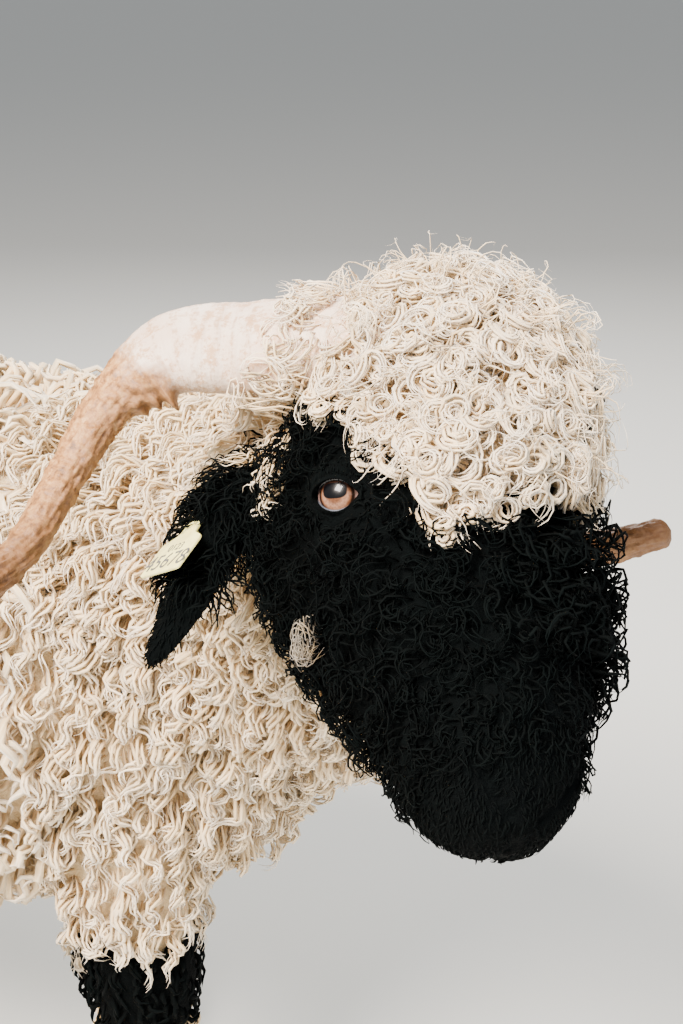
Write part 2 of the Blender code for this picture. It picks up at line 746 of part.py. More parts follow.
def claw_shape(foot_x, y, side):
    """One claw of a cloven hoof: flat below, rounded in front, and upright where it meets its twin."""
    rings = []
    for z, toe, heel, wide in ((0.0, 0.042, 0.030, 0.0165), (0.012, 0.041, 0.031, 0.0170),
                               (0.028, 0.036, 0.031, 0.0165), (HOOF_HEIGHT, 0.030, 0.029, 0.0155)):
        ring = []
        for k in range(10):
            a = 2 * math.pi * k / 10
            c, s = math.cos(a), math.sin(a)
            reach = toe if c > 0 else heel
            inner = wide * (0.86 if s * side < 0 else 1.0)
            narrow = 1 - 0.35 * max(0.0, c) ** 2
            x = foot_x + 0.022 + math.copysign(abs(c) ** 0.8, c) * reach
            ring.append((x, y + side * 0.0178 + math.copysign(abs(s) ** 0.8, s) * inner * narrow, z))
        rings.append(ring)
    return loft(rings)


def socket_cutters():
    """A collection of what is cut out of the head: sockets for horns, ears and eyes, and the lids' gaps."""
    cutters = new_collection("sockets")
    for name, side in SIDES:
        to_object(swollen(horn_shape(side)), "horn_socket_" + name, cutters)
        to_object(swollen(ear_shape(side), GAP * 2.2), "ear_socket_" + name, cutters)
        to_object(swollen(eye_sphere(side)), "eye_socket_" + name, cutters)
        to_object(lid_gap(side), "lid_gap_" + name, cutters)
    return cutters


def whole_body(work):
    """The flesh and coat as one closed solid, with sockets for all that is set into it."""
    pieces = new_collection("pieces")
    base = to_object(torso_form().loft(1, 18), "whole", work)
    to_object(neck_form().loft(2, 16), "neck_core", pieces)
    to_object(head_form().loft(2, 18), "head_core", pieces)
    to_object(crown_form().loft(1, 14), "crown", pieces)
    to_object(tail_form().loft(1, 10), "tail_core", pieces)
    for name, side in SIDES:
        to_object(foreleg_form(side).loft(2, 10), "fore_" + name, pieces)
        to_object(hindleg_form(side).loft(2, 10), "hind_" + name, pieces)
    add_fleece(pieces)
    add_forelock(pieces)
    boolean(base, pieces, "UNION")
    boolean(base, socket_cutters(), "DIFFERENCE")
    return keep_largest(base)


def bare_head(sheep, head_point, head_facing, work):
    """The head without its forelock: skull, brows and lids, with nostrils and the line of the mouth."""
    pieces = new_collection("brows")
    head = to_object(head_form().loft(2, 18), "head", sheep, BLACK_WOOL)
    for name, side in SIDES:
        to_object(lid_bulge(side), "lids_" + name, pieces)
    boolean(head, pieces, "UNION")
    cutters = socket_cutters()
    mouth_grooves(cutters)
    boolean(head, cutters, "DIFFERENCE")
    boolean(head, half_space(head_point, head_facing, "cut", work), "INTERSECT")
    keep_largest(head)


def part_body(base, work, sheep):
    """Cuts the whole body into its nodes."""
    frame = head_frame()
    head_point = frame @ HEAD_CUT_POINT
    head_facing = (frame.to_3x3() @ HEAD_CUT_FACING).normalized()
    neck_side = head_point - head_facing * GAP
    torso_side = NECK_CUT_POINT - NECK_CUT_FACING * GAP

    bare_head(sheep, head_point, head_facing, work)
    forelock = copied(base, "forelock", sheep, WOOL)
    boolean(forelock, half_space(head_point, head_facing, "cut", work), "INTERSECT")
    under = new_collection("under")
    to_object(swollen(head_form().loft(2, 18)), "head_room", under)
    for name, side in SIDES:
        to_object(swollen(lid_bulge(side)), "lid_room_" + name, under)
    boolean(forelock, under, "DIFFERENCE")
    neck = copied(base, "neck", sheep, WOOL)
    boolean(neck, half_space(neck_side, -head_facing, "cut", work), "INTERSECT")
    boolean(neck, half_space(NECK_CUT_POINT, NECK_CUT_FACING, "cut", work), "INTERSECT")
    boolean(base, half_space(neck_side, -head_facing, "cut", work), "INTERSECT")
    boolean(base, half_space(torso_side, -NECK_CUT_FACING, "cut", work), "INTERSECT")

    regions = [("tail", (-0.70, -0.070, 0.20), (-0.490, 0.070, 0.720))]
    for name, side in SIDES:
        y1, y2 = sorted((side * 0.036, side * 0.178))
        x = foreleg_x(side)
        regions.append(("foreleg_" + name, (x - 0.085, y1, -0.1), (x + 0.095, y2, FORELEG_CUT)))
        regions.append(("hindleg_" + name, (-0.486, y1, -0.1), (-0.235, y2, HINDLEG_CUT)))
    torso = copied(base, "torso", sheep, WOOL)
    for name, low, high in regions:
        limb = copied(base, name, sheep, WOOL)
        boolean(limb, block(low, high, "cut", work), "INTERSECT")
        grown_low = Vector(low) - Vector((GAP, GAP, GAP))
        grown_high = Vector(high) + Vector((GAP, GAP, GAP))
        boolean(torso, block(grown_low, grown_high, "cut", work), "DIFFERENCE")
        keep_largest(limb)
        if "leg" in name:
            part_leg(limb, name, work, sheep)
    for thing in (forelock, neck, torso):
        keep_largest(thing)
    bpy.data.objects.remove(base, do_unlink=True)


def part_leg(limb, name, work, sheep):
    """Cuts a leg across into its upper length, its black joint, its cannon and its black foot."""
    joint = KNEE_HEIGHT if "fore" in name else HOCK_HEIGHT - 0.01
    levels = (1.0, joint + 0.048, joint - 0.048, FETLOCK_HEIGHT + 0.035, HOOF_HEIGHT + GAP / 2)
    parts = (("upper", WOOL), ("knee" if "fore" in name else "hock", BLACK_WOOL),
             ("cannon", WOOL), ("foot", BLACK_WOOL))
    for (label, recipe), high, low in zip(parts, levels, levels[1:]):
        piece = copied(limb, name + "_" + label, sheep, recipe)
        boolean(piece, block((-1, -1, low + GAP / 2), (1, 1, high - GAP / 2), "cut", work), "INTERSECT")
        keep_largest(piece)
    bpy.data.objects.remove(limb, do_unlink=True)


def add_set_pieces(work, sheep):
    """Horns, ears, eyes, claws and the tag."""
    frame = tag_frame()
    for name, side in SIDES:
        to_object(horn_shape(side), "horn_" + name, sheep, HORN)
        ear = to_object(ear_shape(side), "ear_" + name, sheep, BLACK_WOOL)
        to_object(eye_sphere(side), "eye_" + name, sheep, EYE)
        for end, x, y in (("front", foreleg_x(side), FORELEG_Y), ("hind", HIND_FOOT_X - 0.002, HIND_LEG_Y)):
            for place, turn in (("inner", -side), ("outer", side)):
                shape = claw_shape(x, side * y, turn)
                to_object(shape, "claw_%s_%s_%s" % (end, name, place), sheep, HOOF)
        if side < 0:
            hole = to_object(disc(STUD_RADIUS + GAP / MM, -30, 30, frame), "hole", work)
            keep_largest(boolean(ear, hole, "DIFFERENCE"))
    tag = to_object(tag_flag(work), "ear_tag", sheep, TAG, smooth=False)
    boolean(tag, to_object(disc(STUD_RADIUS, -13.5, TAG_STAND + 0.8, frame), "pin", work), "UNION")
    boolean(tag, to_object(disc(7, -15.5, -12.5, frame), "button", work), "UNION")
    tag.data.materials.clear()
    tag.data.materials.append(material(TAG))


def centre_on_floor(sheep):
    """Moves the whole sheep so that it stands on Z = 0 with the middle of its box over the origin."""
    bpy.context.view_layer.update()
    points = np.array([v.co for thing in sheep.objects for v in thing.data.vertices])
    low, high = points.min(axis=0), points.max(axis=0)
    shift = Vector((-(low[0] + high[0]) / 2, -(low[1] + high[1]) / 2, -low[2]))
    for thing in sheep.objects:
        thing.data.transform(Matrix.Translation(shift))
        thing.data.update()
    return shift


def main():
    clear_scene()
    sheep = new_collection("sheep")
    work = new_collection("work")
    base = whole_body(work)
    part_body(base, work, sheep)
    add_set_pieces(work, sheep)
    shift = centre_on_floor(sheep)
    print("moved by", tuple(round(v, 5) for v in shift))


main()
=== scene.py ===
import math

import bmesh
import bpy
import numpy as np
from mathutils import Matrix, Vector
from mathutils.bvhtree import BVHTree


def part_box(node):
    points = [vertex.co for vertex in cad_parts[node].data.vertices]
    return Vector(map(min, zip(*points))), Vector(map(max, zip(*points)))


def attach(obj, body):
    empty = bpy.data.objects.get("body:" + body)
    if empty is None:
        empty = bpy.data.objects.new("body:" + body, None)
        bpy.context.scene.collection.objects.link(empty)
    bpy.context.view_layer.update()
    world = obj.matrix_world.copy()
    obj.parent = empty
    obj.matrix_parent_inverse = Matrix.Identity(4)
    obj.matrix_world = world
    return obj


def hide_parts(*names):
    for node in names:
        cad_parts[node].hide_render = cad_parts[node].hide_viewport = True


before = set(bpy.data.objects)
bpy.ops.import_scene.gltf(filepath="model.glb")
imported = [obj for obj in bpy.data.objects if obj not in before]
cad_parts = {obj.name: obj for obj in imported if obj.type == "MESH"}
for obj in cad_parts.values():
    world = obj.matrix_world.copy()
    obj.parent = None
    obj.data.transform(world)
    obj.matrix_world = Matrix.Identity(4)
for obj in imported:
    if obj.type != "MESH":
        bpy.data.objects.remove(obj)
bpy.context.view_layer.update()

# The head's place: the point between the eyes, and its turn, dip and roll in degrees
headPose = {"middle": (0.561, -0.297, 0.778), "turn": 66.5, "dip": 27.0, "roll": 22.5}

# Where the right eye's middle is, which way it looks, and how big it is, in the head's millimetres
eyeSizes = {"place": (4, 62, 3), "facing": (0.50, 0.77, 0.36), "radius": 13.8, "opening": (13.1, 8.0),
            "slit": (0.52, 0.33, 0.79), "bareRim": (15.5, 10.5)}


def unitRows(rows):
    return rows / np.maximum(np.linalg.norm(rows, axis=-1), 1e-12)[..., None]


def squareTo(ways, axes):
    # the ways with what they share with the axes taken off
    return unitRows(ways - axes * np.sum(ways * axes, axis=1)[:, None])


def headMatrix(shift):
    turn = Matrix.Rotation(math.radians(-headPose["turn"]), 4, "Z")
    dip = Matrix.Rotation(math.radians(headPose["dip"]), 4, "Y")
    roll = Matrix.Rotation(math.radians(-headPose["roll"]), 4, "X")
    place = Matrix.Translation(Vector(headPose["middle"]) + shift)
    return place @ turn @ dip @ roll @ Matrix.Scale(0.001, 4)


def findShift():
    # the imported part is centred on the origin, so its right eye says how far everything was moved
    low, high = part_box("eye_right")
    x, y, z = eyeSizes["place"]
    return (low + high) / 2 - headMatrix(Vector()) @ Vector((x, -y, z))


shift = findShift()
headWorld = headMatrix(shift)
headTurn = np.array(headWorld.to_3x3()) * 1000
headSpot = np.array(headWorld.translation)


def toHead(points):
    return (np.asarray(points) - headSpot) @ headTurn * 1000


def fromHead(points):
    return np.asarray(points, float) @ headTurn.T / 1000 + headSpot


def noiseAt(points, scale, seed=0):
    # a smooth random value from -1 to 1, made of a few crossing waves
    draw = np.random.default_rng(seed)
    total = np.zeros(len(points))
    for octave in range(7):
        way = draw.normal(size=3)
        way /= np.linalg.norm(way)
        total += np.sin(points @ way / scale * (1.0 + 0.35 * octave) * 6.28 + draw.uniform(0, 6.28))
    return total / 4.0


# Body forms: each row is x, y, z, half width, rise, drop and squareness
bodySizes = {"foreX": 0.30, "foreStep": 0.11, "foreY": 0.105, "hindX": -0.375, "hindFootX": -0.377,
             "hindY": 0.115, "knee": 0.295, "hock": 0.275, "fetlock": 0.105, "inset": -0.003}


def makeForm(rows, up, inHead=False, inset=None):
    rows = np.array(rows, float)
    inset = bodySizes["inset"] if inset is None else inset
    rows[:, 3:6] = np.maximum(rows[:, 3:6] - inset, 0.3 if inHead else 0.0003)
    return {"rows": rows, "up": np.array(up, float), "inHead": inHead, "last": len(rows) - 1}


def rowsAt(rows, t):
    last = len(rows) - 1
    t = np.clip(t, 0, last)
    i = np.minimum(t.astype(int), last - 1)
    u = (t - i)[:, None]
    b, c = rows[i], rows[i + 1]
    a = np.where((i > 0)[:, None], rows[np.maximum(i - 1, 0)], 2 * b - c)
    d = np.where((i + 2 <= last)[:, None], rows[np.minimum(i + 2, last)], 2 * c - b)
    curve = 2 * b + (c - a) * u + (2 * a - 5 * b + 4 * c - d) * u ** 2 + (3 * b - a - 3 * c + d) * u ** 3
    return 0.5 * curve


def followRows(rows, t):
    # the rows at places t, and the way that their middle line goes there
    ahead = rowsAt(rows, np.minimum(t + 0.02, len(rows) - 1)) - rowsAt(rows, np.maximum(t - 0.02, 0))
    return rowsAt(rows, t), unitRows(ahead[:, :3])


def placeOn(form, t, angle):
    # the points of a form at places t along it and angles round it
    row, along = followRows(form["rows"], t)
    across = unitRows(np.cross(form["up"], along))
    upward = unitRows(np.cross(along, across))
    c, s = np.cos(angle), np.sin(angle)
    wide = np.sign(c) * np.abs(c) ** (2 / row[:, 6]) * row[:, 3]
    tall = np.sign(s) * np.abs(s) ** (2 / row[:, 6]) * np.where(s > 0, row[:, 4], row[:, 5])
    spot = row[:, :3] + across * wide[:, None] + upward * tall[:, None]
    if form["inHead"]:
        if form.get("sculpt"):
            spot = form["sculpt"](spot, row[:, :3])
        return fromHead(spot)
    return spot + np.array(shift)


def bump(distance, width):
    return np.exp(-(distance / width) ** 2)


def lineDistance(points, line):
    # how far each point is from a line of short straight lengths
    best = np.full(len(points), 1e9)
    for a, b in zip(line, line[1:]):
        a, b = np.array(a, float), np.array(b, float)
        along = b - a
        u = np.clip((points - a) @ along / (along @ along), 0, 1)
        best = np.minimum(best, np.linalg.norm(points - a - u[:, None] * along, axis=1))
    return best


# The face's own forms, in the head's millimetres, for the left side and mirrored to the right
faceLines = {
    "mouth": [(96, 45, -46), (118, 41, -48), (140, 36, -49), (156, 28, -50), (168, 14, -47), (174, 0, -42)],
    "nostril": [(168, 9, -7), (161, 17, -2), (155, 24, 3)],
    "nostrilWing": [(170, 13, -18), (161, 27, -10), (150, 31, 2)],
    "cleft": [(178, 0, -16), (178, 0, -28), (176, 0, -41)],
    "brow": [(-22, 62, 34), (2, 62, 36), (24, 56, 33)],
    "cheekbone": [(12, 76, -18), (45, 68, -14), (80, 55, -8)],
    "tearLine": [(24, 66, 0), (40, 62, -6), (56, 58, -12)],
    "noseSide": [(60, 44, 22), (100, 34, 20), (140, 24, 12)]}


def sculptFace(spots, middles):
    # brows, sockets, cheekbones, nostrils and lips pressed into the smooth head
    out = unitRows(spots - middles)
    mirrored = spots * np.array([1, 0, 1]) + np.abs(spots) * np.array([0, 1, 0])

    def near(name, width):
        return bump(lineDistance(mirrored, faceLines[name]), width)

    lift = 3.0 * near("brow", 13) + 2.2 * near("cheekbone", 12) - 2.0 * near("tearLine", 6)
    lift += 2.6 * near("nostrilWing", 6.5) - 7.5 * near("nostril", 3.6)
    lift -= 3.2 * near("mouth", 2.3) - 1.2 * near("mouth", 8.5)
    lift -= 2.4 * near("cleft", 2.4) + 1.6 * near("noseSide", 9)
    return spots + out * lift[:, None]


torso = makeForm([
    (-0.494, 0, 0.560, 0.008, 0.008, 0.008, 2.0),
    (-0.478, 0, 0.556, 0.100, 0.085, 0.100, 2.1),
    (-0.420, 0, 0.548, 0.165, 0.135, 0.155, 2.2),
    (-0.320, 0, 0.540, 0.190, 0.165, 0.180, 2.3),
    (-0.180, 0, 0.535, 0.203, 0.174, 0.196, 2.3),
    (-0.020, 0, 0.535, 0.206, 0.170, 0.200, 2.3),
    (0.120, 0, 0.540, 0.195, 0.172, 0.192, 2.3),
    (0.240, 0, 0.545, 0.172, 0.160, 0.182, 2.2),
    (0.335, 0, 0.535, 0.145, 0.135, 0.160, 2.1),
    (0.412, 0, 0.515, 0.108, 0.100, 0.125, 2.0),
    (0.447, 0, 0.505, 0.008, 0.008, 0.008, 2.0)], (0, 0, 1))
neckEnd = headMatrix(Vector()) @ Vector((-62, 0, -34))
neck = makeForm([
    (0.140, 0.000, 0.560, 0.150, 0.125, 0.150, 2.0),
    (0.240, 0.000, 0.590, 0.150, 0.122, 0.165, 2.0),
    (0.340, -0.022, 0.628, 0.132, 0.106, 0.170, 2.0),
    (0.425, -0.078, 0.678, 0.108, 0.088, 0.152, 2.0),
    (0.482, -0.145, 0.728, 0.086, 0.074, 0.112, 2.0),
    (*neckEnd, 0.064, 0.060, 0.072, 2.0)], (-0.3, 0, 1))
head = makeForm([
    (-113, 0, -20, 4, 4, 4, 2.0),
    (-104, 0, -18, 52, 62, 52, 2.0),
    (-70, 0, -20, 70, 76, 76, 2.2),
    (-35, 0, -24, 78, 78, 86, 2.5),
    (0, 0, -24, 76, 72, 88, 2.6),
    (35, 0, -26, 71, 72, 78, 2.6),
    (70, 0, -28, 61, 72, 60, 2.5),
    (105, 0, -28, 49, 66, 44, 2.5),
    (135, 0, -28, 42, 58, 34, 2.5),
    (158, 0, -27, 36, 43, 28, 2.4),
    (172, 0, -26, 24, 24, 17, 2.2),
    (177, 0, -26, 10, 9, 8, 2.0),
    (178.5, 0, -26, 1, 1, 1, 2.0)], (0, 0, 1), True, 2.0)
head["sculpt"] = sculptFace
crown = makeForm([
    (-112, 0, 20, 4, 4, 4, 2.0),
    (-90, 0, 26, 50, 46, 50, 2.1),
    (-48, 0, 28, 62, 58, 50, 2.1),
    (-6, 0, 24, 52, 52, 40, 2.0),
    (20, 0, 18, 38, 40, 40, 2.0),
    (38, 0, 10, 4, 4, 4, 2.0)], (0, 0, 1), True, 0.0)
tail = makeForm([
    (-0.440, 0, 0.655, 0.034, 0.030, 0.034, 2.0),
    (-0.492, 0, 0.640, 0.040, 0.034, 0.036, 2.0),
    (-0.520, 0, 0.585, 0.042, 0.030, 0.034, 2.0),
    (-0.532, 0, 0.510, 0.040, 0.027, 0.032, 2.0),
    (-0.536, 0, 0.445, 0.030, 0.022, 0.025, 2.0),
    (-0.537, 0, 0.418, 0.004, 0.004, 0.004, 2.0)], (-1, 0, 0.2))


def forelegX(side):
    # in mid-step, with the left foreleg set back
    return bodySizes["foreX"] - (bodySizes["foreStep"] if side > 0 else 0)


def foreleg(side):
    x, y, knee = forelegX(side), side * bodySizes["foreY"], bodySizes["knee"]
    return makeForm([
        (x - 0.015, y * 0.95, 0.520, 0.040, 0.070, 0.080, 2.0),
        (x - 0.008, y, 0.430, 0.050, 0.062, 0.066, 2.0),
        (x, y, 0.350, 0.046, 0.050, 0.052, 2.0),
        (x + 0.004, y, knee, 0.043, 0.046, 0.044, 2.1),
        (x + 0.002, y, 0.235, 0.039, 0.040, 0.040, 2.0),
        (x, y, 0.160, 0.036, 0.038, 0.038, 2.0),
        (x + 0.002, y, bodySizes["fetlock"], 0.038, 0.040, 0.043, 2.0),
        (x + 0.014, y, 0.075, 0.036, 0.037, 0.038, 2.0),
        (x + 0.021, y, 0.056, 0.036, 0.038, 0.036, 2.1),
        (x + 0.022, y, 0.040, 0.035, 0.037, 0.034, 2.2)], (1, 0, 0), inset=0.004)


def hindleg(side):
    x, y = bodySizes["hindX"], side * bodySizes["hindY"]
    return makeForm([
        (x + 0.090, y * 0.85, 0.560, 0.050, 0.090, 0.100, 2.0),
        (x + 0.070, y * 0.96, 0.460, 0.062, 0.092, 0.094, 2.0),
        (x + 0.035, y, 0.375, 0.054, 0.070, 0.072, 2.0),
        (x - 0.012, y, 0.320, 0.046, 0.052, 0.054, 2.0),
        (x - 0.030, y, 0.270, 0.040, 0.044, 0.046, 2.1),
        (x - 0.022, y, 0.215, 0.037, 0.038, 0.040, 2.0),
        (x - 0.010, y, 0.155, 0.036, 0.037, 0.039, 2.0),
        (x - 0.002, y, bodySizes["fetlock"], 0.038, 0.039, 0.043, 2.0),
        (x + 0.012, y, 0.075, 0.036, 0.037, 0.038, 2.0),
        (x + 0.019, y, 0.056, 0.036, 0.038, 0.036, 2.1),
        (x + 0.020, y, 0.040, 0.035, 0.037, 0.034, 2.2)], (1, 0, 0), inset=0.004)


legs = {}
for sideName, side in (("right", -1), ("left", 1)):
    legs["fore_" + sideName] = foreleg(side)
    legs["hind_" + sideName] = hindleg(side)


def closeUp(shape):
    bmesh.ops.remove_doubles(shape, verts=shape.verts, dist=1e-6)
    bmesh.ops.holes_fill(shape, edges=[e for e in shape.edges if e.is_boundary], sides=0)
    bmesh.ops.recalc_face_normals(shape, faces=shape.faces)
    if shape.calc_volume(signed=True) < 0:
        bmesh.ops.reverse_faces(shape, faces=shape.faces)
    return shape


def onForm(form):
    # a surface is the function that places points on it, with the last of its places
    return (lambda t, angle: placeOn(form, t, angle)), form["last"]


def onSide(place, side, last):
    # the same for a place function that is given the side first
    return (lambda t, angle: place(side, t, angle)), last


def wrapSheet(surface, steps, around):
    # a sheet of small squares wrapped round a surface, with its seam welded and its ends closed
    placeAt, last = surface
    shape = bmesh.new()
    bmesh.ops.create_grid(shape, x_segments=steps, y_segments=around, size=1)
    flat = np.array([v.co[:2] for v in shape.verts])
    spots = placeAt((flat[:, 0] + 1) / 2 * last, (flat[:, 1] + 1) * math.pi)
    for vert, spot in zip(shape.verts, spots):
        vert.co = spot
    return closeUp(shape)


def addPiece(name, data):
    piece = bpy.data.objects.new(name, data)
    bpy.context.scene.collection.objects.link(piece)
    return piece


def toPiece(shape, name, smooth=True):
    mesh = bpy.data.meshes.new(name)
    shape.to_mesh(mesh)
    shape.free()
    if smooth:
        mesh.shade_smooth()
    return addPiece(name, mesh)


def joinWith(piece, others, operation):
    # one Boolean with a collection, applied, and the collection's pieces removed
    group = bpy.data.collections.new("others")
    bpy.context.scene.collection.children.link(group)
    for other in others:
        group.objects.link(other)
    change = piece.modifiers.new("join", "BOOLEAN")
    change.operation = operation
    change.solver = "MANIFOLD"
    change.operand_type = "COLLECTION"
    change.collection = group
    bpy.context.view_layer.update()
    graph = bpy.context.evaluated_depsgraph_get()
    made = bpy.data.meshes.new_from_object(piece.evaluated_get(graph))
    piece.modifiers.clear()
    piece.data = made
    for other in others:
        bpy.data.objects.remove(other, do_unlink=True)
    bpy.data.collections.remove(group)


# Ears: the middle line, half width and depth of the cup, in the head's millimetres, for the left side
earSizes = {"rows": [(-58, 58, -50, 11, 0), (-64, 76, -64, 15, 7), (-52, 86, -78, 22, 10),
                     (-32, 93, -95, 23, 9), (-8, 101, -116, 17, 7), (8, 107, -133, 9, 4),
                     (14, 109, -140, 2, 1)],
            "opening": (0.10, -0.85, -0.45), "thick": 3.6, "last": 6.0}


def earPlace(side, t, angle):
    # angles 0 to pi run over the outer face, and pi to 2 pi over the inner one
    rows = np.array(earSizes["rows"], float)
    rows[:, 1] *= side
    row, along = followRows(rows, t)
    x, y, z = earSizes["opening"]
    opening = squareTo(np.tile(np.array([x, y * side, z]), (len(t), 1)), along)
    across = unitRows(np.cross(along, opening))
    u = np.cos(angle)
    bend = row[:, 4] * (1 - u * u) - row[:, 4] * 0.5
    wall = np.minimum(earSizes["thick"], 0.8 * row[:, 3]) * 0.5 * np.sin(angle)
    return fromHead(row[:, :3] + across * (u * row[:, 3])[:, None] - opening * (bend + wall)[:, None])


def eyeAxes(side):
    # the eye's middle and its axes: along the slit between the lids, up across it, and out
    x, y, z = eyeSizes["place"]
    fx, fy, fz = eyeSizes["facing"]
    sx, sy, sz = eyeSizes["slit"]
    facing = Vector((fx, fy * side, fz)).normalized()
    slit = Vector((sx, -sy * side, sz))
    slit = (slit - facing * slit.dot(facing)).normalized()
    upward = facing.cross(slit).normalized()
    if upward.z < 0:
        upward = -upward
    return [np.array(v) for v in (Vector((x, y * side, z)), slit, upward, facing)]


def almond(angle):
    # the gap between the lids at an angle round it
    wide, tall = eyeSizes["opening"]
    c = np.cos(angle)
    return c * wide, np.sin(angle) * tall * (1 - 0.25 * c ** 2 - 0.35 * np.maximum(0, c) ** 3)


# Lids: the half width and half height of their ball, how far they stand off the eye, and their two folds
lidSizes = {"wide": 21.0, "tall": 18.5, "stand": 2.6, "raise": 1.0, "foldReach": (21.0 / 15.5, 18.0 / 11.0),
            "folds": ((1.0, 0.05625), (1.34, 0.0375)), "foldSoft": 0.09, "rim": 0.95, "corner": 0.45}


def lidPlace(side, t, angle):
    # brow and lids: a ball with folds in it, from its outer pole at t 0, before their gap is cut
    place, slit, upward, facing = eyeAxes(side)
    x, y, z = np.sin(t * math.pi) * np.cos(angle), np.sin(t * math.pi) * np.sin(angle), np.cos(t * math.pi)
    ring = np.hypot(x * lidSizes["foldReach"][0], y * lidSizes["foldReach"][1])
    fold = -sum(deep * bump(ring - where, lidSizes["foldSoft"]) for where, deep in lidSizes["folds"])
    reach = 1 + np.where(z > 0, fold, 0)
    local = (slit * (x * lidSizes["wide"])[:, None] + upward * (y * lidSizes["tall"])[:, None]
             + facing * (z * (eyeSizes["radius"] + lidSizes["stand"]))[:, None]) * reach[:, None]
    return fromHead(place + np.array((0, 0, lidSizes["raise"])) + local)


def gapPlace(side, t, angle):
    # the gap between the lids, as a plug that widens outwards
    place, slit, upward, facing = eyeAxes(side)
    w, h = almond(angle)
    flare = 0.92 + 0.38 * t ** 2
    deep = 5.0 + 22.0 * t
    spots = place + slit * (w * flare)[:, None] + upward * (h * flare)[:, None]
    return fromHead(spots + facing * deep[:, None])


def rimPlace(side, ring, turn):
    # the moist edge of the lids: a thin roll round the gap, lying on the ball of the eye
    place, slit, upward, facing = eyeAxes(side)
    w, h = almond(ring)
    deep = np.sqrt((eyeSizes["radius"] + 0.5) ** 2 - w * w - h * h)
    out = unitRows(np.stack([w / 2.0, h], axis=1))
    roll = lidSizes["rim"] + lidSizes["corner"] * np.abs(np.cos(ring)) ** 3
    reach, rise = roll * np.cos(turn), roll * np.sin(turn) * 1.1
    spots = place + slit * (w + out[:, 0] * reach)[:, None] + upward * (h + out[:, 1] * reach)[:, None]
    return fromHead(spots + facing * (deep + rise)[:, None])


def lidRimPiece(side, name):
    # the lower lid's edge is moist and pale, the upper one dark
    piece = toPiece(wrapSheet(onSide(rimPlace, side, 2 * math.pi), 72, 12), name)
    place, slit, upward, facing = eyeAxes(side)
    local = toHead([v.co[:] for v in piece.data.vertices]) - place
    giveValues(piece.data, "lower", np.clip(-(local @ upward) / 4.0 - 0.2, 0, 1))
    return piece


print("making the skin")
skin = toPiece(wrapSheet(onForm(torso), 56, 64), "skin")
others = []
for name, form, steps, around in (("neckPart", neck, 40, 56), ("headPart", head, 210, 200),
                                  ("crownPart", crown, 40, 48), ("tailPart", tail, 30, 24)):
    others.append(toPiece(wrapSheet(onForm(form), steps, around), name))
for name, form in legs.items():
    others.append(toPiece(wrapSheet(onForm(form), 50, 28), name))
for side in (-1, 1):
    others.append(toPiece(wrapSheet(onSide(earPlace, side, earSizes["last"]), 44, 40), "earPart"))
    others.append(toPiece(wrapSheet(onSide(lidPlace, side, 1.0), 56, 72), "lidPart"))
joinWith(skin, others, "UNION")
gaps = [toPiece(wrapSheet(onSide(gapPlace, side, 1.0), 6, 48), "gapPart") for side in (-1, 1)]
joinWith(skin, gaps, "DIFFERENCE")
skin.data.shade_smooth()
skinTree = BVHTree.FromPolygons([v.co for v in skin.data.vertices], [p.vertices for p in skin.data.polygons])
print("skin faces", len(skin.data.polygons))


# Horns: the middle line, thickness and depth in the head's millimetres, left side, and each side's own end
hornSizes = {"rows": [(-60, 35, 50, 23, 18), (-70, 46, 40, 28, 22), (-88, 67, 16, 29, 23),
                      (-102, 94, -8, 27, 20), (-110, 127, -31, 24, 17), (-96, 151, -62, 14.5, 12)],
             "right": [(-62, 169, -88, 11, 9.5), (-19, 190, -106, 11, 9.5), (17, 224, -119, 14, 10)],
             "left": [(-82, 161, -77, 14, 11), (-73, 178, -66, 13, 10), (-66, 205, -33, 11, 8)],
             "hub": (-72, 118, -24), "ring": 0.016, "keel": 0.20, "last": 8.0,
             "knobs": [(4.34, 0.085, 0.52), (4.58, 0.07, 0.34), (4.82, 0.07, 0.24)]}


def hornPlace(side, t, angle):
    # an oval that follows the middle line, with a keel on its outer side and rings along it
    rows = np.array(hornSizes["rows"] + hornSizes["right" if side < 0 else "left"], float)
    rows[:, 1] *= side
    row, along = followRows(rows, t)
    outward = squareTo(row[:, :3] - np.array(hornSizes["hub"], float) * np.array([1, side, 1]), along)
    across = unitRows(np.cross(along, outward))
    local = np.stack([np.cos(angle), np.sin(angle), t], axis=1)
    fade = np.clip(1.15 - t / 5.5, 0.15, 1)
    waves = np.sin(t * 9.5 + 0.5 * np.sin(angle + 1)) + 0.5 * np.sin(t * 27.0 + np.cos(angle * 2))
    rough = 1 + hornSizes["ring"] * fade * waves + 0.012 * noiseAt(local, 0.35, 9)
    keel = 1 + hornSizes["keel"] * np.maximum(0, np.cos(angle)) ** 3
    # a knob and lumps where the worn outer half of the horn begins, then a torn and pitted surface
    inner = np.maximum(0, -np.cos(angle + 0.35)) ** 5
    knob = inner * sum(high * bump(t - where, width) for where, width, high in hornSizes["knobs"])
    worn = np.clip((t - 4.3) / 0.5, 0, 1)
    pits = 0.055 * noiseAt(local * np.array([1, 1, 4]), 0.6, 12)
    lumps = worn * (0.10 * noiseAt(local, 0.50, 11) + pits - 0.06)
    blunt = np.sqrt(np.clip((hornSizes["last"] - t) / 0.10, 0.0, 1.0)) * 0.96 + 0.04
    size = (rough * keel + knob + lumps) * blunt
    return fromHead(row[:, :3] + outward * (np.cos(angle) * row[:, 3] * size)[:, None]
                    + across * (np.sin(angle) * row[:, 4] * size)[:, None])


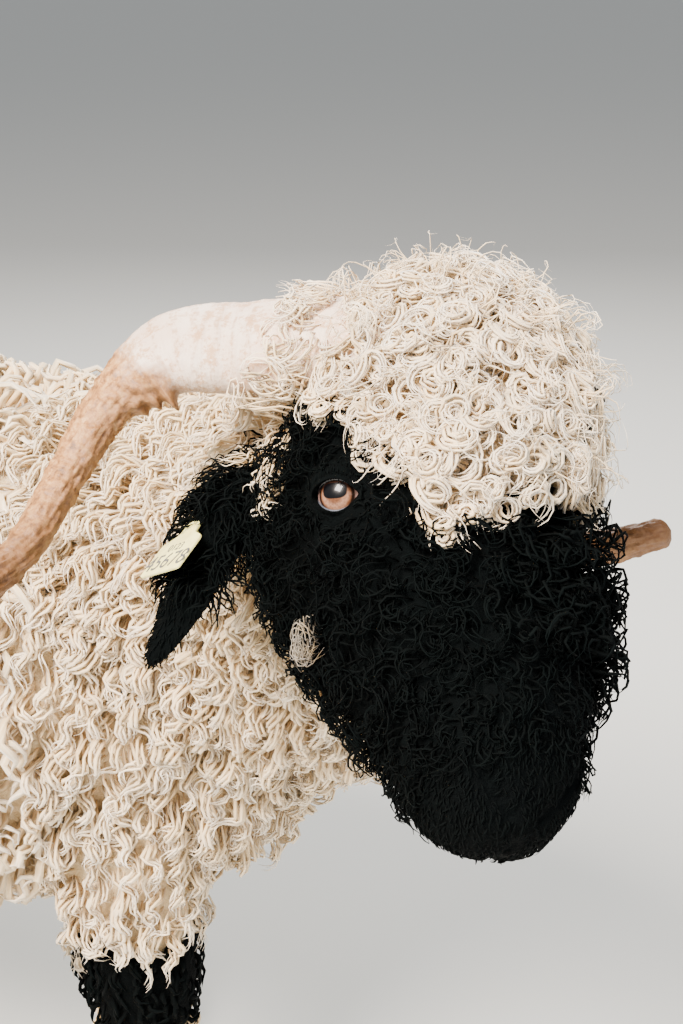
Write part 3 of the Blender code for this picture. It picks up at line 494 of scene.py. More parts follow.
def hornPiece(side, name):
    # each point keeps how far along the horn and how near its inner side it lies, found on a coarse net
    piece = toPiece(wrapSheet(onSide(hornPlace, side, hornSizes["last"]), 240, 56), name)
    rings, around = 160, 24
    net = hornPlace(side, np.repeat(np.linspace(0, hornSizes["last"], rings), around),
                    np.tile(np.linspace(0, 2 * math.pi, around), rings))
    squares = [(i * around + k, i * around + k + 1, (i + 1) * around + k + 1, (i + 1) * around + k)
               for i in range(rings - 1) for k in range(around - 1)]
    tree = BVHTree.FromPolygons([Vector(p) for p in net], squares)
    along, heel = [], []
    for vert in piece.data.vertices:
        ring, turn = divmod(tree.find_nearest(vert.co)[2], around - 1)
        along.append(ring / (rings - 1))
        heel.append(max(0.0, -math.cos(turn / (around - 1) * 2 * math.pi)) ** 2)
    giveValues(piece.data, "along", along)
    giveValues(piece.data, "heel", heel)
    return piece


# The ear tag, in millimetres: across, along and out of its face
tagSizes = {"spot": (-35, -90, -92), "face": (-0.41, -0.84, 0.37), "hang": (0.79, -0.53, -0.32),
            "stand": 12.0, "thick": 1.6,
            "outline": [(-6, -5), (6, -5), (8, 4), (19, 9), (19, 33), (-19, 33), (-19, 9), (-8, 4)],
            "lines": [("0123", 7.5, 11.5), ("45678", 16.0, 18.5)], "yellow": (0.96, 0.90, 0.36),
            "discs": [(2.4, -13.5, 12.8), (7, -15.5, -12.5), (4.2, 13.2, 14.6)], "corner": 2.4, "edge": 0.35,
            "dust": (0.70, 0.60, 0.22), "ink": (0.045, 0.045, 0.055), "wornInk": (0.15, 0.15, 0.13)}


# Markings: 1 is black wool and 0 is white, on the skin and the coat alike
def darkOnHead(points):
    local = toHead(points)
    x, y, z = local.T
    wobble = 3.5 * noiseAt(local, 26, 3)
    side = np.abs(y)
    browLine = 30 - 0.40 * np.clip(y, -45, 45) + wobble
    edge = np.interp(x, [-90, -36, -10, 22, 60], [74, 66, 53, 45, 40]) + wobble
    top = (z > 8 + wobble) & (x < browLine) & (side < edge)
    mirrored = np.stack([x, side, z], axis=1)
    strip = lineDistance(mirrored, [(-96, 62, -6), (-66, 80, -22), (-32, 82, -36)]) < 9 + wobble
    nape = x * 0.8 + z * 0.6 < -96 + wobble
    nape |= (z > 49) & (x < 25)
    return np.where(top | strip | nape, 0.0, 1.0)


def darkOnLegs(points):
    # black knees, hocks and feet
    place = points - np.array(shift)
    z = place[:, 2] + 0.005 * noiseAt(place, 0.05, 4)
    joint = np.where(place[:, 0] > 0, bodySizes["knee"], bodySizes["hock"])
    return np.where((np.abs(z - joint) < 0.050) | (z < bodySizes["fetlock"] + 0.036), 1.0, 0.0)


def darkOnNeck(points):
    # a black throat behind the jaw
    local = toHead(points)
    x, y, z = local.T
    wobble = 5 * noiseAt(local, 40, 5)
    return np.where((z < -58 + wobble) & (x * 0.8 + z * 0.6 > -132 + wobble) & (x > -104 + wobble), 1.0, 0.0)


def darkAnywhere(points):
    # the head's own markings near it, the legs' below the belly, and the throat's between
    points = np.asarray(points, float)
    local = toHead(points)
    place = points - np.array(shift)
    onHead = 0.8 * (local[:, 0] + 70) + 0.6 * (local[:, 2] + 44) > -6
    onHead &= np.linalg.norm(local, axis=1) < 260
    onLeg = place[:, 2] < 0.36
    dark = np.where(onLeg, darkOnLegs(points), 0.0)
    dark = np.where(~onLeg & ~onHead, darkOnNeck(points), dark)
    return np.where(onHead, darkOnHead(points), dark)


def giveValues(mesh, name, values):
    layer = mesh.attributes.new(name, "FLOAT", "POINT")
    layer.data.foreach_set("value", np.asarray(values, np.float32))


giveValues(skin.data, "dark", darkAnywhere([v.co[:] for v in skin.data.vertices]))


# What a lock is like where its own look, further down, doesn't say otherwise
plainLock = {"sides": 3, "waveAcross": 0, "waveOut": 0, "waveAlong": 0, "turns": 1, "stray": 0.2, "sag": 0,
             "lift": 1.6, "tuck": 0.3, "sink": 0.003, "taper": 0.88, "strands": 1, "spread": (0, 0),
             "twist": 3.0, "frizz": 0.0005, "flat": 0.8}

# How many triangles one mesh may have, and each lock's patch and its strands' places in the unwrap
coatSizes = {"mostTriangles": 185000, "patch": 0.0016,
             "strandPatches": [[0.0, 0.0], [0.0014, 0.0], [0.0, 0.0014], [0.0014, 0.0014], [0.0007, 0.0007]]}


# The coat: each lock is a bent and tapering tube of few sides, made from arrays
def growLocks(name, spots, outs, lies, unwrap, dark, lookName, seed):
    look = {**plainLock, **locks[lookName]}
    draw = np.random.default_rng(seed)
    count = len(spots)
    steps, sides = look["steps"], look["sides"]

    def vary(value, amount=0.25):
        return value * (1 + draw.uniform(-amount, amount, count))

    outs = unitRows(outs)
    lies = squareTo(lies, outs)
    spin = draw.normal(0, look["stray"], count)
    acrosses = np.cross(outs, lies)
    lies = lies * np.cos(spin)[:, None] + acrosses * np.sin(spin)[:, None]
    acrosses = np.cross(outs, lies)
    length, rise, radius = vary(look["length"]), vary(look["rise"], 0.3), vary(look["radius"], 0.2)
    rise = rise * (1 + look["sag"] * np.clip(-outs[:, 2], 0, 1))
    waveAcross, waveOut = vary(look["waveAcross"]), vary(look["waveOut"])
    waveAlong = vary(look["waveAlong"])
    turns, phase = vary(look["turns"], 0.3), draw.uniform(0, 2 * math.pi, count)
    hand = np.where(draw.random(count) < 0.5, -1, 1)
    s = np.linspace(0, 1, steps + 1)[None, :] ** 0.85
    angle = phase[:, None] + hand[:, None] * turns[:, None] * 2 * math.pi * s
    swing = np.clip(s * 3, 0, 1) * np.ones((count, 1))
    stand = np.sin(np.clip(s * look["lift"], 0, 1) * math.pi / 2)
    tuck = look["tuck"] * np.clip(s - 0.45, 0, 1) ** 1.5 * 2.4
    up = -look["sink"] + rise[:, None] * (stand - tuck)
    up = up + waveOut[:, None] * (np.sin(angle) - np.sin(phase)[:, None]) * swing
    go = length[:, None] * s ** 1.15 + waveAlong[:, None] * (np.sin(angle) - np.sin(phase)[:, None]) * swing
    over = waveAcross[:, None] * (np.cos(angle) - np.cos(phase)[:, None]) * swing
    middle = (spots[:, None, :] + outs[:, None, :] * up[:, :, None] + lies[:, None, :] * go[:, :, None]
              + acrosses[:, None, :] * over[:, :, None])
    ahead = unitRows(np.gradient(middle, axis=1))
    sideways = unitRows(np.cross(ahead, outs[:, None, :] + 0.001))
    upward = np.cross(sideways, ahead)
    thick = (0.75 + 0.5 * np.sin(np.clip(s * 1.1, 0, 1) * math.pi)) * (1 - look["taper"] * s ** 2.2)
    thick = radius[:, None] * thick
    strands = look["strands"]
    rootSpread, tipSpread = look["spread"]
    first = draw.uniform(0, 2 * math.pi, (count, 1))
    verts = np.zeros((count, strands, steps + 1, sides, 3), np.float32)
    each = np.arange(count)[:, None]
    for strand in range(strands):
        # each strand follows the lock, ends a little sooner or later and spreads from its middle
        short = 1 - draw.uniform(0, 0.2, (count, 1)) * (strand > 0)
        where = s * short * steps
        low = np.minimum(where.astype(int), steps - 1)
        part = (where - low)[:, :, None]
        spot = middle[each, low] * (1 - part) + middle[each, low + 1] * part
        turn = first + 2 * math.pi * strand / strands + hand[:, None] * look["twist"] * s
        reach = rootSpread * (1 - s) ** 1.5 + tipSpread * (0.4 + s)
        stray = look["frizz"] * s * np.sin(s * 11 + draw.uniform(0, 6.28, (count, 1)))
        spot = spot + sideways * (reach * np.cos(turn) + stray)[:, :, None]
        spot = spot + upward * (reach * np.sin(turn) - stray)[:, :, None]
        for k in range(sides):
            a = 2 * math.pi * k / sides
            verts[:, strand, :, k] = spot + thick[:, :, None] * (
                sideways * math.cos(a) + upward * math.sin(a) * look["flat"])
    tone = np.clip(draw.random((count, 1)) * 0.75 + draw.random((count, strands)) * 0.25, 0, 1)
    patches = unwrap[:, None, :] + np.array(coatSizes["strandPatches"])[:strands][None]
    return buildLocks(name, verts.reshape(count * strands, steps + 1, sides, 3), patches.reshape(-1, 2),
                      np.repeat(dark, strands), tone.ravel())


def buildLocks(name, verts, unwrap, dark, tone):
    # joined meshes of a bounded size, with every lock a small patch of the unwrap
    count, rings, sides, _ = verts.shape
    eachTriangles = (rings - 1) * sides * 2 + 2 * (sides - 2)
    most = int(coatSizes["mostTriangles"] // eachTriangles)
    made = []
    for start in range(0, count, most):
        part = slice(start, min(count, start + most))
        number = part.stop - part.start
        spots = verts[part].reshape(-1, 3)
        r, k = np.meshgrid(np.arange(rings - 1), np.arange(sides), indexing="ij")
        r, k = r.ravel(), k.ravel()
        quads = np.stack([r * sides + k, r * sides + (k + 1) % sides,
                          (r + 1) * sides + (k + 1) % sides, (r + 1) * sides + k], axis=1)
        offsets = (np.arange(number) * rings * sides)[:, None, None]
        ends = np.stack([np.arange(sides)[::-1], (rings - 1) * sides + np.arange(sides)])
        loops = np.concatenate([(quads[None] + offsets).reshape(-1), (ends[None] + offsets).reshape(-1)])
        mesh = bpy.data.meshes.new(name)
        mesh.vertices.add(len(spots))
        mesh.vertices.foreach_set("co", spots.ravel())
        mesh.loops.add(len(loops))
        mesh.loops.foreach_set("vertex_index", loops.astype(np.int32))
        quadCount, endCount = number * len(quads), number * 2
        starts = np.concatenate([np.arange(quadCount) * 4, quadCount * 4 + np.arange(endCount) * sides])
        mesh.polygons.add(quadCount + endCount)
        mesh.polygons.foreach_set("loop_start", starts.astype(np.int32))
        mesh.update(calc_edges=True)
        mesh.polygons.foreach_set("use_smooth", np.ones(quadCount + endCount, bool))
        along = np.tile(np.repeat(np.linspace(0, 1, rings), sides), number)
        around = np.tile(np.arange(sides) / sides, number * rings)
        giveValues(mesh, "along", along)
        giveValues(mesh, "tone", np.repeat(tone[part], rings * sides))
        giveValues(mesh, "around", around)
        giveValues(mesh, "dark", np.repeat(dark[part], rings * sides))
        patch = np.repeat(unwrap[part], rings * sides, axis=0)
        patch = patch + coatSizes["patch"] * np.stack([along - 0.5, around - 0.5], 1)
        layer = mesh.uv_layers.new(name="OFBake")
        layer.data.foreach_set("uv", patch[loops].astype(np.float32).ravel())
        made.append(addPiece("%s%d" % (name, len(made) + 1), mesh))
    return made


def scatterOn(surface, start, stop, spacing, seed, jitter=0.35):
    # places set close in staggered rows over a surface
    placeAt, last = surface
    draw = np.random.default_rng(seed)
    ring = np.linspace(0, 2 * math.pi, 33)
    allT, allAngle = [], []
    t, row = start, 0
    while t <= stop:
        around = placeAt(np.full(33, t), ring)
        lengths = np.linalg.norm(np.diff(around, axis=0), axis=1)
        girth = lengths.sum()
        count = max(3, int(round(girth / spacing)))
        share = (np.arange(count) + 0.5 * (row % 2)) / count
        angle = np.interp(share, np.concatenate([[0], np.cumsum(lengths) / girth]), ring)
        ahead = placeAt(np.full(33, min(t + 0.05, last)), ring) - around
        slope = max(np.linalg.norm(ahead, axis=1).max() / 0.05, 1e-4)
        step = min(spacing * 0.87 / slope, 0.5)
        allAngle.append(angle + draw.uniform(-jitter, jitter, count) * spacing / girth * 2 * math.pi)
        allT.append(np.clip(t + draw.uniform(-jitter, jitter, count) * step, 0, last))
        t += step
        row += 1
    return np.concatenate(allT), np.concatenate(allAngle)


def outwardAt(surface, t, angle):
    # the way straight out of a surface, from two short steps over it
    placeAt, last = surface
    stepT = placeAt(np.minimum(t + 0.04, last), angle) - placeAt(np.maximum(t - 0.04, 0), angle)
    stepA = placeAt(t, angle + 0.03) - placeAt(t, angle - 0.03)
    return unitRows(np.cross(stepA, stepT))


def rootsOver(surface, start, stop, spacing, seed, keep, patch, within):
    # the roots over one surface that lie on the finished skin, with their outward ways and unwrap places
    placeAt, last = surface
    t, angle = scatterOn(surface, start, stop, spacing, seed)
    spots, outs = placeAt(t, angle), outwardAt(surface, t, angle)
    good = np.array([skinTree.find_nearest(Vector(p))[3] < within for p in spots])
    if keep is not None:
        good &= keep(spots, outs)
    t, angle, spots, outs = t[good], angle[good], spots[good], outs[good]
    u0, v0, wide, tall = patch
    unwrap = np.stack([u0 + wide * t / last, v0 + tall * (angle % (2 * math.pi)) / (2 * math.pi)], axis=1)
    return spots, outs, unwrap


def hangLie(spots, outs):
    # down and a little towards the tail, as the fleece hangs, and sideways along the back
    lie = np.tile(np.array([-0.3, 0.0, -1.0]), (len(outs), 1))
    top = np.clip((outs[:, 2] - 0.75) * 4, 0, 1)[:, None]
    sideways = np.stack([np.full(len(outs), -0.6), np.sign(outs[:, 1]), np.full(len(outs), -0.3)], axis=1)
    return lie * (1 - top) + sideways * top


def legLie(spots, outs):
    return np.tile(np.array([-0.1, 0, -1.0]), (len(outs), 1))


def faceLie(spots, outs):
    # towards the nose and down
    toward = fromHead([(175, 0, -60)])[0]
    return unitRows(toward - spots) + np.array([0, 0, -0.5])


def curlLie(spots, outs):
    # forward over the brow, outward over the horns' roots, and down
    local = toHead(spots)
    ways = np.stack([np.full(len(spots), 1.0), np.sign(local[:, 1]) * 0.6, np.zeros(len(spots))], axis=1)
    return ways @ headTurn.T / 1000 + np.array([0, 0, -0.8])


# Looks of the locks, in metres: how long they are, how far they stand off, and how they wave and curl
locks = {
    "neck": {"steps": 10, "length": 0.036, "rise": 0.017, "radius": 0.00135, "waveAcross": 0.0052,
             "waveOut": 0.0050, "turns": 1.4, "stray": 0.22, "tuck": 0.35, "strands": 4,
             "spread": (0.0038, 0.0014), "frizz": 0.0010, "sag": 1.1},
    "torso": {"steps": 6, "length": 0.050, "rise": 0.020, "radius": 0.0034, "waveAcross": 0.0066,
              "waveOut": 0.0056, "turns": 1.25, "stray": 0.30, "tuck": 0.35, "strands": 2,
              "spread": (0.0062, 0.0022), "sag": 0.7},
    "leg": {"steps": 6, "length": 0.032, "rise": 0.013, "radius": 0.0024, "waveAcross": 0.0042,
            "waveOut": 0.0030, "turns": 1.3, "stray": 0.35, "strands": 2, "spread": (0.0040, 0.0014)},
    "legNear": {"steps": 7, "length": 0.032, "rise": 0.013, "radius": 0.0014, "waveAcross": 0.0046,
                "waveOut": 0.0036, "turns": 1.3, "stray": 0.35, "strands": 4, "spread": (0.0038, 0.0014),
                "frizz": 0.0009},
    "tail": {"steps": 7, "length": 0.045, "rise": 0.014, "radius": 0.0027, "waveAcross": 0.0050,
             "waveOut": 0.004, "turns": 1.3, "stray": 0.3, "strands": 2, "spread": (0.0040, 0.0014)},
    "forelock": {"steps": 12, "length": 0.010, "rise": 0.016, "radius": 0.00095, "waveAcross": 0.0064,
                 "waveAlong": 0.0064, "turns": 1.35, "stray": 1.0, "tuck": 0.15, "lift": 1.9, "strands": 5,
                 "spread": (0.0026, 0.0010), "frizz": 0.0007},
    "brow": {"steps": 12, "length": 0.018, "rise": 0.012, "radius": 0.00095, "waveAcross": 0.0064,
             "waveAlong": 0.0060, "turns": 1.3, "stray": 0.5, "tuck": 0.5, "lift": 1.9, "strands": 5,
             "spread": (0.0026, 0.0010), "frizz": 0.0007},
    "top": {"steps": 7, "length": 0.012, "rise": 0.027, "radius": 0.00045, "waveAcross": 0.0050,
            "waveAlong": 0.0050, "turns": 1.0, "stray": 1.3, "strands": 4, "spread": (0.0022, 0.0020),
            "frizz": 0.0012},
    "tuft": {"steps": 10, "length": 0.012, "rise": 0.034, "radius": 0.00085, "waveAcross": 0.0058,
             "waveAlong": 0.0058, "turns": 1.2, "stray": 1.5, "strands": 4, "spread": (0.0028, 0.0018),
             "frizz": 0.0010},
    "hornRoot": {"steps": 9, "length": 0.020, "rise": 0.0085, "radius": 0.00075, "waveAcross": 0.0046,
                 "waveAlong": 0.0044, "turns": 1.2, "stray": 0.8, "strands": 4, "spread": (0.0030, 0.0014),
                 "frizz": 0.0010},
    "wisp": {"steps": 8, "length": 0.020, "rise": 0.026, "radius": 0.00032, "waveAcross": 0.0040,
             "waveAlong": 0.0030, "turns": 1.0, "stray": 1.2, "tuck": 0.1, "frizz": 0.001},
    "face": {"steps": 5, "length": 0.0080, "rise": 0.0038, "radius": 0.0007, "waveAcross": 0.0018,
             "waveAlong": 0.0012, "turns": 0.9, "stray": 0.8, "sink": 0.001, "frizz": 0},
    "cheekLeft": {"steps": 9, "length": 0.015, "rise": 0.0175, "radius": 0.00088, "waveAcross": 0.0034,
                  "waveAlong": 0.0030, "turns": 1.05, "stray": 0.9, "tuck": 0.45, "sink": 0.001, "strands": 3,
                  "spread": (0.0048, 0.0024), "frizz": 0.0014},
    "cheekRight": {"steps": 8, "length": 0.012, "rise": 0.0095, "radius": 0.0006, "waveAcross": 0.0038,
                   "waveAlong": 0.0034, "turns": 1.05, "stray": 0.9, "tuck": 0.3, "sink": 0.001, "strands": 3,
                   "spread": (0.0030, 0.0014)},
    "muzzle": {"steps": 6, "length": 0.010, "rise": 0.0052, "radius": 0.00055, "waveAcross": 0.0026,
               "waveAlong": 0.0020, "turns": 0.9, "stray": 0.7, "sink": 0.001, "strands": 2,
               "spread": (0.0022, 0.0010)},
    "nose": {"steps": 3, "length": 0.0052, "rise": 0.0016, "radius": 0.0005, "waveAcross": 0.0005,
             "turns": 0.5, "stray": 0.45, "tuck": 0.2, "sink": 0.0006, "frizz": 0},
    "jaw": {"steps": 7, "length": 0.017, "rise": 0.009, "radius": 0.0007, "waveAcross": 0.0026,
            "waveOut": 0.0020, "turns": 1.3, "stray": 0.5, "sink": 0.001, "strands": 2,
            "spread": (0.0022, 0.0010)},
    "ear": {"steps": 6, "length": 0.018, "rise": 0.0080, "radius": 0.00065, "waveAcross": 0.0026,
            "turns": 0.9, "stray": 0.6, "sink": 0.001, "strands": 3, "spread": (0.0022, 0.0016),
            "frizz": 0.0008},
    "knee": {"steps": 4, "length": 0.017, "rise": 0.0065, "radius": 0.0021, "waveAcross": 0.0024,
             "turns": 0.9, "stray": 0.5, "sink": 0.001},
    "lash": {"steps": 5, "length": 0.0060, "rise": 0.0030, "radius": 0.00022, "stray": 0.15, "tuck": 0.0,
             "sink": 0.0002, "frizz": 0},
    "cheek": {"steps": 12, "length": 0.003, "rise": 0.0105, "radius": 0.00032, "waveAcross": 0.0040,
              "waveAlong": 0.0040, "turns": 1.3, "stray": 1.5, "tuck": 0.1, "sink": 0.001, "strands": 4,
              "spread": (0.002, 0.0012)}}
coat = []


def grow(name, look, surface, start, stop, spacing, seed, lie, keep=None, patch=(0.01, 0.01, 0.97, 0.97),
         within=0.003, darkness=None):
    spots, outs, unwrap = rootsOver(surface, start, stop, spacing, seed, keep, patch, within)
    dark = darkAnywhere(spots) if darkness is None else np.full(len(spots), darkness)
    coat.extend(growLocks(name, spots, outs, lie(spots, outs), unwrap, dark, look, seed))
    print("grew", name, len(spots))


def inFront(spots, outs):
    return spots[:, 0] - shift.x >= 0.25


def behind(spots, outs):
    return spots[:, 0] - shift.x < 0.26


def isDark(spots, outs):
    return darkAnywhere(spots) > 0.5


def isWhite(spots, outs):
    return darkAnywhere(spots) < 0.5


def onBrow(spots, outs):
    local = toHead(spots)
    return isWhite(spots, outs) & (local[:, 2] > 8) & (local[:, 0] > -100)


def onSpine(spots, outs):
    # the parting along the back, where the wool of the two sides falls apart
    return (outs[:, 2] > 0.965) & behind(spots, outs)


def onJaw(spots, outs):
    local = toHead(spots)
    return isDark(spots, outs) & (local[:, 2] < -50) & (local[:, 0] < 118)


def gapReach(local):
    # how many times the bare rim's size each point is from the middle of the nearer eye's gap
    wide, tall = eyeSizes["bareRim"]
    best = np.full(len(local), 9.0)
    for side in (-1, 1):
        place, slit, upward, facing = eyeAxes(side)
        w, h, deep = (local - place) @ slit, (local - place) @ upward, (local - place) @ facing
        best = np.where(deep > 0, np.minimum(best, np.hypot(w / wide, h / tall)), best)
    return best


def onCheekSide(side):
    # longer wool on the cheeks and the bridge of the nose, and shorter towards the eyes and the muzzle
    def keep(spots, outs):
        local = toHead(spots)
        x, y, z = local.T
        good = isDark(spots, outs) & (gapReach(local) > 1.75) & (x > -60) & (x < 112) & (z > -75)
        return good & (y * side > -6) & ~((x < 40) & (np.abs(y) < 30))
    return keep


def onFace(spots, outs):
    local = toHead(spots)
    good = isDark(spots, outs) & (gapReach(local) > 1.05) & (local[:, 0] < 112)
    return good & ~onCheekSide(-1)(spots, outs) & ~onCheekSide(1)(spots, outs)


def onMuzzle(spots, outs):
    x = toHead(spots)[:, 0]
    return isDark(spots, outs) & (x > 104) & (x < 150)


def onStrip(spots, outs):
    local = toHead(spots)
    return isWhite(spots, outs) & (local[:, 2] <= 9)


def onNose(spots, outs):
    # short hair, but none on the bare skin between the nostrils, in them or between the lips
    local = toHead(spots)
    mirrored = local * np.array([1, 0, 1]) + np.abs(local) * np.array([0, 1, 0])
    bare = lineDistance(mirrored, faceLines["nostril"]) < 4.2
    bare |= lineDistance(mirrored, faceLines["cleft"]) < 4.5
    return (local[:, 0] >= 138) & ~bare & (lineDistance(mirrored, faceLines["mouth"]) > 2.2)


def onLid(spots, outs):
    return gapReach(toHead(spots)) > 0.98


def onTop(spots, outs):
    # the crown's upper side and its edges, where single strands stand against the light
    return isWhite(spots, outs) & (toHead(spots)[:, 2] > 40)


def offTag(spots, outs):
    # no wool under the ear tag or through it
    local = toHead(spots) - np.array(tagSizes["spot"])
    face = unitRows(np.array([tagSizes["face"]]))[0]
    hang = unitRows(np.array([tagSizes["hang"]]))[0]
    hang = hang - face * (hang @ face)
    over, down, out = local @ np.cross(hang, face), local @ hang, local @ face
    return ~((np.abs(over) < 21) & (down > -9) & (down < 44) & (out > -3) & (out < 40))


def nearSide(spots, outs):
    # the right side and front of the neck, which are seen from near
    return isWhite(spots, outs) & offTag(spots, outs) & (spots[:, 1] - shift.y < 0.02)


def farSide(spots, outs):
    return isWhite(spots, outs) & (spots[:, 1] - shift.y >= 0.02)


def offTagEar(spots, outs):
    local = toHead(spots) - np.array(tagSizes["spot"])
    return np.linalg.norm(local * np.array([1, 1, 0.8]), axis=1) > 13


def outLie(spots, outs):
    # out over the horn, away from the middle of the head
    local = toHead(spots)
    ways = np.stack([np.full(len(spots), -0.35), np.sign(local[:, 1]), np.full(len(spots), -0.35)], axis=1)
    return ways @ headTurn.T / 1000


print("growing the fleece")
grow("fleece", "torso", onForm(torso), 0.15, 9.85, 0.0228, 21, hangLie, behind)
grow("chestFleece", "neck", onForm(torso), 6.9, 9.9, 0.0152, 22, hangLie, inFront)
grow("neckFleece", "neck", onForm(neck), 0.0, 4.95, 0.0149, 23, hangLie, nearSide)
grow("neckFleeceLeft", "neck", onForm(neck), 0.0, 4.95, 0.0180, 27, hangLie, farSide)
grow("neckWool", "jaw", onForm(neck), 0.0, 4.95, 0.0100, 28, hangLie, isDark)
grow("spineFleece", "torso", onForm(torso), 0.15, 9.85, 0.0195, 29, curlLie, onSpine)
grow("tailFleece", "tail", onForm(tail), 0.3, 4.9, 0.0155, 24, hangLie)
for number, (name, form) in enumerate(legs.items()):
    patch = (0.01 + 0.25 * number, 0.01, 0.22, 0.97)
    near, apart = ("legNear", 0.0142) if name == "fore_right" else ("leg", 0.0152)
    grow("legFleece" + name.replace("_", ""), near, onForm(form), 0.1, form["last"] - 2.2, apart,
         30 + number, legLie, isWhite, patch)
    grow("legWool" + name.replace("_", ""), "knee", onForm(form), 2.0, form["last"] - 0.05, 0.0115,
         40 + number, legLie, isDark, patch)
print("growing the forelock and the face's wool")
grow("forelock", "forelock", onForm(crown), 0.2, 4.95, 0.0081, 51, curlLie, isWhite)
grow("browLocks", "brow", onForm(head), 0.9, 7.5, 0.0085, 50, curlLie, onBrow)
grow("stripLocks", "jaw", onForm(head), 0.9, 5.5, 0.0080, 58, legLie, onStrip)
grow("crownWisps", "wisp", onForm(crown), 0.2, 4.9, 0.0100, 59, curlLie, isWhite)
grow("crownTop", "top", onForm(crown), 0.2, 4.4, 0.0165, 47, curlLie, onTop)
for side, name in ((-1, "Right"), (1, "Left")):
    grow("hornRoot" + name, "hornRoot", onSide(hornPlace, side, hornSizes["last"]), 1.75, 2.40, 0.0095,
         75 + side, outLie, within=0.030, darkness=0.0)
grow("faceWool", "face", onForm(head), 1.0, 9.6, 0.0046, 52, faceLie, onFace)
grow("muzzleWool", "muzzle", onForm(head), 6.8, 9.6, 0.0060, 68, faceLie, onMuzzle)
grow("noseWool", "nose", onForm(head), 8.0, 11.7, 0.0032, 56, faceLie, onNose)
grow("jawWool", "jaw", onForm(head), 1.2, 8.5, 0.0098, 53, legLie, onJaw)
for side, name in ((-1, "Right"), (1, "Left")):
    grow("cheekWool" + name, "cheek" + name, onForm(head), 1.5, 9.2, 0.0088, 64 + side, faceLie,
         onCheekSide(side))
    ear = onSide(earPlace, side, earSizes["last"])
    grow("earWool" + name, "ear", ear, 0.2, 3.6, 0.0056, 54 + side, legLie, offTagEar)
    grow("earHair" + name, "nose", ear, 3.0, 5.9, 0.0032, 57 + side, legLie)
    grow("lidWool" + name, "nose", onSide(lidPlace, side, 1), 0.12, 0.60, 0.0028, 60 + side, faceLie, onLid)


def growAt(name, look, local, outs, ways, darkness, seed, snap=False):
    # locks at places given in the head's millimetres, put on the nearest skin where snap is set
    count = len(local)
    unwrap = np.stack([np.linspace(0.4, 0.6, count), np.full(count, 0.5)], axis=1)
    spots = fromHead(local)
    if snap:
        spots = np.array([skinTree.find_nearest(Vector(spot))[0][:] for spot in spots])
    coat.extend(growLocks(name, spots, np.asarray(outs) @ headTurn.T, np.asarray(ways) @ headTurn.T, unwrap,
                          np.full(count, darkness), look, seed))


draw = np.random.default_rng(70)
for side, name in ((-1, "Right"), (1, "Left")):
    place, slit, upward, facing = eyeAxes(side)
    ring = np.linspace(0.5, math.pi - 0.5, 16)
    w, h = almond(ring)
    deep = np.sqrt((eyeSizes["radius"] + 1.2) ** 2 - w * w - h * h)
    rim = place + slit * (w * 1.06)[:, None] + upward * (h * 1.12)[:, None] + facing * deep[:, None]
    growAt("lashWool" + name, "lash", rim, np.tile(facing, (16, 1)), np.tile(upward, (16, 1)) + slit * 0.3,
           1.0, 71)
cheek = np.array([60, -65, -46]) + draw.normal(size=(9, 3)) * np.array([3.5, 1, 3.5])
growAt("cheekCurl", "cheek", cheek, np.tile([0.1, -1.0, -0.1], (9, 1)), draw.normal(size=(9, 3)), 0.74, 72)
# a few dark curls at the forelock's left edge, and white tufts between each horn and ear
curls = np.array([-18, 36, 68]) + draw.normal(size=(8, 3)) * np.array([4, 6, 2])
growAt("darkCurl", "forelock", curls, np.tile([0.65, -0.3, 0.6], (8, 1)), draw.normal(size=(8, 3)), 0.97, 73)
for side, name in ((-1, "Right"), (1, "Left")):
    tufts = np.stack([draw.uniform(-104, -58, 44), draw.uniform(70, 80, 44) * side,
                      draw.uniform(-16, 12, 44)], axis=1)
    growAt("earTuft" + name, "tuft", tufts, np.tile([-0.5, 0.85 * side, 0.05], (44, 1)),
           np.tile([-0.6, 0.2 * side, 0.3], (44, 1)), 0.0, 76 + side, True)
    tongue = np.stack([np.linspace(-56, -30, 14), np.linspace(77, 83, 14) * side, np.linspace(-16, -38, 14)],
                      axis=1)
    growAt("earTongue" + name, "jaw", tongue, np.tile([0.3, side, 0.1], (14, 1)),
           np.tile([0.9, 0.1 * side, -0.7], (14, 1)), 0.05, 78 + side, True)


# Materials
def addNode(tree, kind, **values):
    node = tree.nodes.new(kind)
    for name, value in values.items():
        if name.startswith("in_"):
            node.inputs[name[3:].replace("_", " ")].default_value = value
        else:
            setattr(node, name, value)
    return node


def newMaterial(name, colour=(0.5, 0.5, 0.5), **sockets):
    material = bpy.data.materials.new(name)
    material.use_nodes = True
    shader = material.node_tree.nodes["Principled BSDF"]
    shader.inputs["Base Color"].default_value = (*colour, 1)
    for socket, value in sockets.items():
        shader.inputs[socket.replace("_", " ")].default_value = value
    return material, material.node_tree, shader


def readValue(tree, name):
    return addNode(tree, "ShaderNodeAttribute", attribute_name=name).outputs["Fac"]


def objectPlace(tree):
    return addNode(tree, "ShaderNodeTexCoord").outputs["Object"]


def noiseNode(tree, place, scale, detail=3.0, roughness=0.55):
    node = addNode(tree, "ShaderNodeTexNoise", in_Scale=scale, in_Detail=detail, in_Roughness=roughness)
    tree.links.new(place, node.inputs["Vector"])
    return node.outputs["Fac"]


def ramp(tree, value, stops):
    # each stop is a place with a colour or with a grey
    node = tree.nodes.new("ShaderNodeValToRGB")
    elements = node.color_ramp.elements
    while len(elements) < len(stops):
        elements.new(0.5)
    for element, (place, colour) in zip(elements, stops):
        element.position = place
        element.color = (*colour, 1) if isinstance(colour, tuple) else (colour, colour, colour, 1)
    tree.links.new(value, node.inputs["Fac"])
    return node.outputs["Color"]


def feed(tree, socket, value):
    if isinstance(value, bpy.types.NodeSocket):
        tree.links.new(value, socket)
    else:
        socket.default_value = (*value, 1) if isinstance(value, tuple) else value


